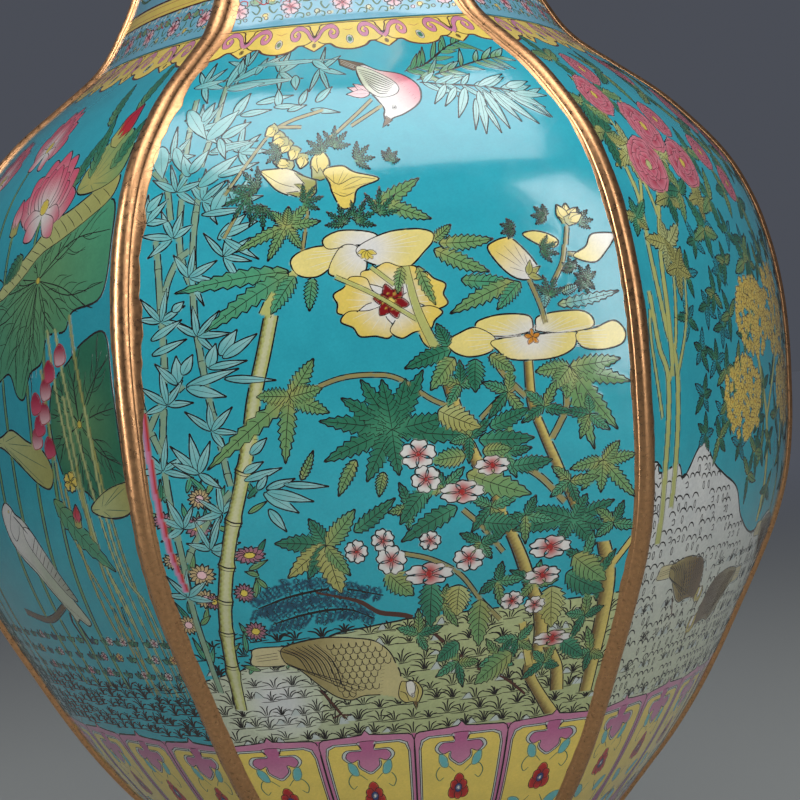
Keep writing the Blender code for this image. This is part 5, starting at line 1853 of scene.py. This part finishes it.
def paint_foot(number):
    """A small scroll on pale blue between two stripes, above the foot ring."""
    art = Painting(FOOT_LOW, FOOT_HIGH, quick_pitch(0.42), NECK_BLUE, 90 + number, quick_pitch(0.9),
                   true_width=True)
    neck_stripe(art, -107.5, -105.2, YELLOW)
    for k in range(-1, 2):
        many_petals(art, (13.6 * k, -114.6), 3.4, 90, 6, 1.0, ROSE, ROSE_PALE, LEMON)
        for hand in (1, -1):
            art.curve([(13.6 * k + hand * 2.6, -116.2), (13.6 * k + hand * 5.0, -118.6),
                       (13.6 * k + hand * 6.6, -116.6), (13.6 * k + hand * 5.4, -115.6)], 0.34, "green", 0.5)
            slim_leaf(art, (13.6 * k + hand * 3.6, -117.2), (13.6 * k + hand * 6.2, -112.2), 1.8, LEAF_MID)
    neck_stripe(art, -123.4, -121.4, YELLOW)
    for k in range(-2, 3):
        centre = 9.2 * k
        lobe = ((-4.5, -131.9), (-4.3, -128.4), (-2.4, -125.8), (0, -124.4), (2.4, -125.8), (4.3, -128.4),
                (4.5, -131.9))
        art.shape(shifted(lobe, centre), along((centre, -131), (centre, -125), MAUVE, MAUVE_PALE), 0.36)
        inner = scaled(((-4.4, -131.6), (-3.6, -128.2), (0, -125), (3.6, -128.2), (4.4, -131.6)), -129, 0.6)
        art.shape(shifted(inner, centre), YELLOW, 0.24)
        dot(art, (centre, -129.2), 0.8, RED, 0.16)
    return art


# each body panel's garden and the pitch of its grid, in the order of SIDE_NAMES
GARDENS = ((front_garden, 0.27), (rock_garden, 0.36), (blossom_tree, 0.42), (blossom_tree, 0.42),
           (blossom_tree, 0.42), (lotus_pond, 0.36))


def paint_body(number):
    """A body panel: the turquoise ground, its garden, and the borders below and above it."""
    garden, pitch = GARDENS[number]
    art = Painting(BODY_LOW, BODY_HIGH, quick_pitch(pitch), TURQUOISE, 11 + number)
    band(art, -60, 75, along((0, -50), (0, 70), TURQUOISE, TURQUOISE_DEEP), raised=0.0, mottle=0.03)
    garden(art, number)
    lappet_band(art)
    ruyi_band(art)
    return art


# ================================================================ surfaces

def surface(name, colour, roughness, metallic=0.0, coat=0.0):
    """A plain glossy surface, and its shader."""
    made = bpy.data.materials.new(name)
    made.use_nodes = True
    shader = made.node_tree.nodes["Principled BSDF"]
    shader.inputs["Base Color"].default_value = (*colour, 1)
    shader.inputs["Roughness"].default_value = roughness
    shader.inputs["Metallic"].default_value = metallic
    shader.inputs["Coat Weight"].default_value = coat
    shader.inputs["Coat Roughness"].default_value = 0.06
    return made, shader


def noise(made, scale, detail=3.0, seed=0.0, stretch=(1, 1, 1)):
    """A noise value fixed to the object."""
    nodes = made.node_tree.nodes
    place = nodes.new("ShaderNodeTexCoord")
    move = nodes.new("ShaderNodeMapping")
    move.inputs["Location"].default_value = (seed, seed * 0.7, seed * 0.3)
    move.inputs["Scale"].default_value = stretch
    texture = nodes.new("ShaderNodeTexNoise")
    texture.inputs["Scale"].default_value = scale
    texture.inputs["Detail"].default_value = detail
    made.node_tree.links.new(place.outputs["Object"], move.inputs["Vector"])
    made.node_tree.links.new(move.outputs["Vector"], texture.inputs["Vector"])
    return texture.outputs["Fac"]


def spread(made, value, low, high, start=0.3, end=0.7):
    """A value between low and high, following a noise value."""
    node = made.node_tree.nodes.new("ShaderNodeMapRange")
    node.inputs["From Min"].default_value = start
    node.inputs["From Max"].default_value = end
    node.inputs["To Min"].default_value = low
    node.inputs["To Max"].default_value = high
    made.node_tree.links.new(value, node.inputs["Value"])
    return node.outputs["Result"]


def ramp(made, value, stops):
    """A colour that follows a noise value through some stops."""
    node = made.node_tree.nodes.new("ShaderNodeValToRGB")
    while len(node.color_ramp.elements) < len(stops):
        node.color_ramp.elements.new(0.5)
    for element, (place, colour) in zip(node.color_ramp.elements, stops):
        element.position = place
        element.color = (*colour, 1)
    made.node_tree.links.new(value, node.inputs["Fac"])
    return node.outputs["Color"]


def mixed(made, kind, share, first, second):
    """Two colours mixed, either of them a socket or a fixed colour."""
    node = made.node_tree.nodes.new("ShaderNodeMix")
    node.data_type = "RGBA"
    node.blend_type = kind
    for socket, value in ((node.inputs[0], share), (node.inputs[6], first), (node.inputs[7], second)):
        if isinstance(value, bpy.types.NodeSocket):
            made.node_tree.links.new(value, socket)
        elif np.ndim(value):
            socket.default_value = (*value, 1)
        else:
            socket.default_value = value
    return node.outputs[2]


def bump(made, shader, value, strength, distance):
    """Unevenness of a surface, from a noise value."""
    node = made.node_tree.nodes.new("ShaderNodeBump")
    node.inputs["Strength"].default_value = strength
    node.inputs["Distance"].default_value = distance
    made.node_tree.links.new(value, node.inputs["Height"])
    made.node_tree.links.new(node.outputs["Normal"], shader.inputs["Normal"])


def painted_enamel():
    """Porcelain under soft overglaze enamels, coloured by the painting on its vertices."""
    made, shader = surface("painted_enamel", TURQUOISE, 0.12, coat=0.4)
    paint = made.node_tree.nodes.new("ShaderNodeVertexColor")
    paint.layer_name = "paint"
    cloud = ramp(made, noise(made, 260, 5), [(0.25, (0.86, 0.88, 0.9)), (0.75, (1, 1, 1))])
    grain = ramp(made, noise(made, 2600, 2, 3.0), [(0.3, (0.90, 0.91, 0.92)), (0.7, (1, 1, 1))])
    tone = mixed(made, "MULTIPLY", 1.0, paint.outputs["Color"], cloud)
    tone = mixed(made, "MULTIPLY", 0.8, tone, grain)
    made.node_tree.links.new(tone, shader.inputs["Base Color"])
    made.node_tree.links.new(spread(made, noise(made, 420, 4, 1.0), 0.12, 0.18), shader.inputs["Roughness"])
    bump(made, shader, noise(made, 600, 3, 2.0), 0.05, 0.0004)
    return made


def plain_glaze(name, colour, rough=0.16):
    """An undecorated glazed face."""
    made, shader = surface(name, colour, rough, coat=0.3)
    tone = ramp(made, noise(made, 120, 5), [(0.3, colour * 0.82), (0.7, colour * 1.05)])
    made.node_tree.links.new(tone, shader.inputs["Base Color"])
    bump(made, shader, noise(made, 500, 3, 2.0), 0.15, 0.0004)
    return made


def worn_gilding():
    """Burnished gold rubbed thin, with dark grains where the ground shows."""
    made, shader = surface("worn_gilding", GOLD, 0.3, metallic=1.0)
    tone = ramp(made, noise(made, 1500, 5), [(0.26, GOLD * 0.45), (0.36, GOLD * 0.85), (0.62, GOLD),
                                             (0.8, GOLD_PALE)])
    made.node_tree.links.new(tone, shader.inputs["Base Color"])
    made.node_tree.links.new(spread(made, noise(made, 1100, 4, 1.0), 0.24, 0.42), shader.inputs["Roughness"])
    bump(made, shader, noise(made, 1500, 3, 2.0), 0.06, 0.0002)
    return made


def line_enamels():
    """One plain glossy enamel for each colour of drawn line."""
    return [surface("line_" + name, colour, 0.22, coat=0.2)[0] for name, colour in LINES.items()]


def biscuit():
    """Unglazed porcelain."""
    made, shader = surface("bare_biscuit", BISCUIT, 0.75)
    tone = ramp(made, noise(made, 300, 5), [(0.3, BISCUIT * 0.75), (0.7, BISCUIT * 1.08)])
    made.node_tree.links.new(tone, shader.inputs["Base Color"])
    bump(made, shader, noise(made, 1400, 4), 0.4, 0.0003)
    return made


# ================================================================ ribs, lip, foot ring and base

def around_outline(radius, z, per_side):
    """Points round the vase's lobed outline, for corner radius and height arrays of the same length."""
    rings = []
    share = -1 + 2 * np.arange(per_side) / per_side
    for r, height in zip(np.atleast_1d(radius), np.atleast_1d(z)):
        ring = []
        for face in range(SIDES):
            across = r * share * HALF_CHORD
            out = r * (FACE_CENTRE + np.sqrt(FACE_RADIUS ** 2 - (share * HALF_CHORD) ** 2))
            turn = face * 2 * HALF_SIDE
            ring.append(np.stack([across * math.cos(turn) + out * math.sin(turn),
                                  -out * math.cos(turn) + across * math.sin(turn),
                                  np.full(per_side, height)], -1))
        rings.append(np.vstack(ring))
    return rings


def ring_mesh(name, outline, per_side, slots):
    """A closed section swept round the lobed outline. slots gives each section edge its material."""
    radii = [point[0] for point in outline]
    heights = [point[1] for point in outline]
    rings = around_outline(radii, heights, per_side)
    count = SIDES * per_side
    verts = np.vstack(rings)
    quads = []
    kinds = []
    for i in range(len(outline)):
        j = (i + 1) % len(outline)
        a = i * count + np.arange(count)
        b = i * count + (np.arange(count) + 1) % count
        c = j * count + (np.arange(count) + 1) % count
        d = j * count + np.arange(count)
        quads.append(np.stack([a, b, c, d], -1))
        kinds += [slots[i]] * count
    return build_mesh(name, verts, np.vstack(quads), (), kinds)


def rib_mesh(name, corner, bottom, top, seed, wide, crown_height):
    """A raised bead over a corner seam, its gilding spread unevenly onto the faces beside it.

    wide gives the spread in mm on either side, above and below the belly.
    """
    random = np.random.default_rng(seed)
    steps = 700
    z = np.linspace(bottom, top, steps)
    radius = radius_at(z)
    waves = []
    for above, below in wide:
        wave = np.ones(steps)
        for scale, size in ((0.012, 0.30), (0.0045, 0.22), (0.0016, 0.14)):
            knots = np.arange(bottom - scale, top + 2 * scale, scale)
            wave += np.interp(z, knots, random.uniform(-size, size, len(knots)))
        wave *= np.interp(z, [BELLY, BELLY + 0.008], [below, above])
        waves.append(np.clip(wave, 0.35, 3.6))
    rows = []
    for hand, face in ((0, corner), (1, (corner + 1) % SIDES)):
        away = 1 if hand == 0 else -1
        film = RIB_HALF + waves[hand] * MM
        stations = [(film, -0.00002), (film - 0.00025, 0.00004), (RIB_HALF * 0.98 + 0 * z, 0.00005),
                    (RIB_HALF * 0.93 + 0 * z, crown_height * 0.34),
                    (RIB_HALF * 0.88 + 0 * z, crown_height * 0.44),
                    (RIB_HALF * 0.46 + 0 * z, crown_height * 0.90),
                    (RIB_HALF * 0.38 + 0 * z, crown_height * 0.95)]
        side = [on_face(face, away * (1 - distance / (radius * HALF_CHORD)), z, np.full(steps, lift))[0]
                for distance, lift in stations]
        rows.append(side)
    crown = (on_face(corner, 1.0 + 0 * z, z, np.full(steps, crown_height))[0]
             + on_face((corner + 1) % SIDES, -1.0 + 0 * z, z, np.full(steps, crown_height))[0]) / 2
    depth = [on_face(face, away * (1 - film / (radius * HALF_CHORD)), z, np.full(steps, -0.0006))[0]
             for face, away, film in ((corner, 1, RIB_HALF * 0.95 + 0 * z),
                                      ((corner + 1) % SIDES, -1, RIB_HALF * 0.95 + 0 * z))]
    loop = rows[0] + [crown] + rows[1][::-1] + [depth[1], depth[0]]
    verts = np.stack(loop, 1).reshape(-1, 3)
    wide_count = len(loop)
    quads = grid_quads(steps, wide_count, closed=True)
    ends = [list(range(wide_count))[::-1], [(steps - 1) * wide_count + i for i in range(wide_count)]]
    return build_mesh(name, verts, quads, ends)


def lip_section():
    """The rolled lip: half a round over the wall's top edge, leaning outwards."""
    bottom = 0.3525
    wall_top = 0.3522
    height = 0.0075
    lean = 0.3
    steps = 14
    middle = radius_at(wall_top)
    inner = middle - WALL * math.hypot(1, slope_at(wall_top))
    outer = middle + RING_OVERHANG
    points = []
    for i in range(steps + 1):
        angle = math.pi * i / steps
        rise = height * math.sin(angle)
        points.append(((inner + outer) / 2 + (outer - inner) / 2 * math.cos(angle) + lean * rise,
                       bottom + rise))
    return points


def foot_section():
    """The foot ring from its outer top, down over the tread, to the recess."""
    wall_bottom = 0.0083
    height = 0.008
    recess = 0.035
    top = radius_at(wall_bottom) + RING_OVERHANG
    tread = top - 0.0011
    return [(top, height), (top + 0.0001, 0.0065), (tread + 0.0006, 0.003), (tread, 0.0013),
            (tread - 0.0004, 0.0005), (tread - 0.0012, 0.0), (0.0362, 0.0), (0.0354, 0.0004),
            (recess, 0.0012), (recess, height)]


def disc_mesh(name, radius, low, high, rings=10, per_side=24):
    """The base: a flat plate in the vase's outline."""
    shares = np.linspace(0.04, 1.0, rings)
    count = SIDES * per_side
    under = np.vstack(around_outline(radius * shares, np.full(rings, low), per_side))
    over = np.vstack(around_outline(radius * shares[::-1], np.full(rings, high), per_side))
    verts = np.vstack([under, over])
    quads = []
    for i in range(2 * rings - 1):
        a = i * count + np.arange(count)
        b = i * count + (np.arange(count) + 1) % count
        quads.append(np.stack([a, b, b + count, a + count], -1))
    ends = [list(range(count))[::-1], [(2 * rings - 1) * count + i for i in range(count)]]
    return build_mesh(name, verts, np.vstack(quads), ends)


# ================================================================ putting it together

def node_range(name):
    """The lowest and highest point of a part of the frame."""
    heights = [vertex.co.z for vertex in frame["nodes"][name].data.vertices]
    return min(heights), max(heights)


PAINTED = painted_enamel()
INSIDE_TURQUOISE = plain_glaze("inside_turquoise", TURQUOISE)
GILDING = worn_gilding()
LINE_ENAMELS = line_enamels()
BARE = biscuit()


def add_panel(tier, face, painting):
    """A wall panel's skin, which stands for its node, and its drawn lines."""
    side = SIDE_NAMES[face]
    node = f"{tier}_panel_{side}"
    bottom, top = node_range(node)
    skin = panel_skin(f"{tier}_skin_{side}", face, painting, bottom, top)
    add_piece(f"{tier}_skin_{side}", skin, [PAINTED, INSIDE_TURQUOISE], [node])
    verts, quads, kinds = ribbons(face, painting)
    verts, quads = drop_unused(verts, quads)
    drawn = build_mesh(f"{tier}_lines_{side}", verts, quads, (), kinds)
    add_piece(f"{tier}_lines_{side}", drawn, LINE_ENAMELS)


for number in range(SIDES):
    add_panel("body", number, paint_body(number))
for number in range(SIDES):
    add_panel("neck", number, paint_neck(number))
    add_panel("foot", number, paint_foot(number))

for number, corner in enumerate(CORNER_NAMES):
    low, high = node_range(f"corner_rib_{corner}")
    film = {"front_left": ((0.8, 0.8), (2.0, 0.6)), "right": ((0.35, 0.35), (0.8, 0.8)),
            "left": ((0.8, 0.8), (0.35, 0.35))}.get(corner, ((0.8, 0.8), (0.7, 0.7)))
    bead = rib_mesh(f"gilt_rib_{corner}", number, low, high, 40 + number, film, RIB_CROWN)
    add_piece(f"gilt_rib_{corner}", bead, [GILDING], [f"corner_rib_{corner}"])

lip_outline = lip_section()
lip = ring_mesh("gilt_lip", lip_outline, 40, [0] * len(lip_outline))
add_piece("gilt_lip", lip, [GILDING], ["lip_rim"])
foot_outline = foot_section()
foot = ring_mesh("gilt_foot_ring", foot_outline[::-1], 40, [1, 1, 1, 1, 1, 0, 0, 0, 0, 1])
add_piece("gilt_foot_ring", foot, [GILDING, BARE], ["foot_ring"])
low, high = node_range("base_plate")
plate = disc_mesh("glazed_base", 0.0374, low, high)
add_piece("glazed_base", plate, [INSIDE_TURQUOISE], ["base_plate"])


# ================================================================ camera, light and floor

def aim(target, azimuth, elevation, distance):
    """A place seen from a target: azimuth in degrees from -Y towards +X."""
    azimuth = math.radians(azimuth)
    elevation = math.radians(elevation)
    away = Vector((math.sin(azimuth) * math.cos(elevation), -math.cos(azimuth) * math.cos(elevation),
                   math.sin(elevation)))
    return Vector(target) + away * distance, away


def soft_light(name, target, azimuth, elevation, distance, width, height, power):
    """A white rectangular area lamp that faces its target, power in watts."""
    lamp = bpy.data.lights.new(name, "AREA")
    lamp.shape = "RECTANGLE"
    lamp.size = width
    lamp.size_y = height
    lamp.energy = power
    holder = bpy.data.objects.new(name, lamp)
    place, away = aim(target, azimuth, elevation, distance)
    holder.location = place
    holder.rotation_euler = away.to_track_quat("Z", "Y").to_euler()
    bpy.context.scene.collection.objects.link(holder)
    return holder


CAMERA_LENS = 92.29             # mm
CAMERA_DISTANCE = 0.4244        # from the vase's axis
CAMERA_HEIGHT = 0.14638
CAMERA_STAND = 2.504            # degrees round the vase from its front, towards -X
CAMERA_TURN = 0.89              # degrees that it looks past the axis
CAMERA_DROP = 0.676             # degrees that it looks down
CAMERA_ROLL = -5.16             # degrees


def studio_camera():
    """The camera, where the photograph was taken from."""
    lens = bpy.data.cameras.new("camera")
    lens.lens = CAMERA_LENS
    lens.sensor_width = 36.0
    lens.dof.use_dof = False
    holder = bpy.data.objects.new("camera", lens)
    stand = math.radians(CAMERA_STAND)
    heading = math.radians(CAMERA_STAND + CAMERA_TURN)
    drop = math.radians(CAMERA_DROP)
    roll = math.radians(CAMERA_ROLL)
    forward = Vector((math.sin(heading) * math.cos(drop), math.cos(heading) * math.cos(drop),
                      -math.sin(drop)))
    level_right = Vector((math.cos(heading), -math.sin(heading), 0))
    level_up = level_right.cross(forward)
    right = level_right * math.cos(roll) + level_up * math.sin(roll)
    up = level_up * math.cos(roll) - level_right * math.sin(roll)
    place = Vector((-CAMERA_DISTANCE * math.sin(stand), -CAMERA_DISTANCE * math.cos(stand), CAMERA_HEIGHT))
    matrix = Matrix((right, up, -forward)).transposed().to_4x4()
    matrix.translation = place
    holder.matrix_world = matrix
    bpy.context.scene.collection.objects.link(holder)
    bpy.context.scene.camera = holder


def studio_floor():
    """A pale floor whose colour darkens to black away from the vase while it glows more and more with the
    plain grey of the surround: a painted glow, as the floor is no lamp.
    """
    made, shader = surface("studio_floor", FLOOR_PALE, 0.9)
    nodes = made.node_tree.nodes
    links = made.node_tree.links
    place = nodes.new("ShaderNodeTexCoord")
    size = nodes.new("ShaderNodeVectorMath")
    size.operation = "LENGTH"
    links.new(place.outputs["Object"], size.inputs[0])
    painted_glow_share = nodes.new("ShaderNodeMapRange")
    painted_glow_share.interpolation_type = "SMOOTHSTEP"
    painted_glow_share.inputs["From Min"].default_value = 0.4
    painted_glow_share.inputs["From Max"].default_value = 2.2
    links.new(size.outputs["Value"], painted_glow_share.inputs["Value"])
    tone = ramp(made, painted_glow_share.outputs["Result"], [(0.0, FLOOR_PALE), (1.0, FLOOR_FAR)])
    links.new(tone, shader.inputs["Base Color"])
    # painted glow: far from the vase the floor gives off the surround's grey light of its own
    shader.inputs["Emission Color"].default_value = (*WORLD_GREY, 1)
    links.new(painted_glow_share.outputs["Result"], shader.inputs["Emission Strength"])
    reach = 9.0
    level = -0.0001
    corners = [(-reach, -reach, level), (reach, -reach, level), (reach, reach, level), (-reach, reach, level)]
    mesh = build_mesh("studio_floor", corners, [(0, 1, 2, 3)])
    mesh.materials.append(made)
    floor = bpy.data.objects.new("studio_floor", mesh)
    bpy.context.scene.collection.objects.link(floor)


def studio_world():
    """The plain grey surround."""
    world = bpy.data.worlds.new("studio")
    world.use_nodes = True
    back = world.node_tree.nodes["Background"]
    back.inputs["Color"].default_value = (*WORLD_GREY, 1)
    back.inputs["Strength"].default_value = 1.0
    bpy.context.scene.world = world


studio_camera()
studio_floor()
studio_world()
shoulder = (0.0, -0.06, 0.19)
soft_light("softbox_above", shoulder, azimuth=12, elevation=77, distance=0.8, width=0.62, height=0.66,
           power=5.0)
soft_light("strip_right", shoulder, azimuth=38, elevation=19, distance=1.0, width=0.17, height=0.95,
           power=2.8)
sheen = soft_light("strip_left", (-0.06, -0.04, 0.15), azimuth=-74, elevation=20, distance=1.0, width=0.2,
                   height=0.9, power=9.5)
sheen.visible_diffuse = False       # it only gives the left rib its highlight
fill = soft_light("fill_front", shoulder, azimuth=-8, elevation=30, distance=2.4, width=1.8, height=1.4,
                  power=22.0)
fill.visible_glossy = False         # it lights the painting without a reflection in the glaze
bpy.context.scene.view_settings.view_transform = "Standard"
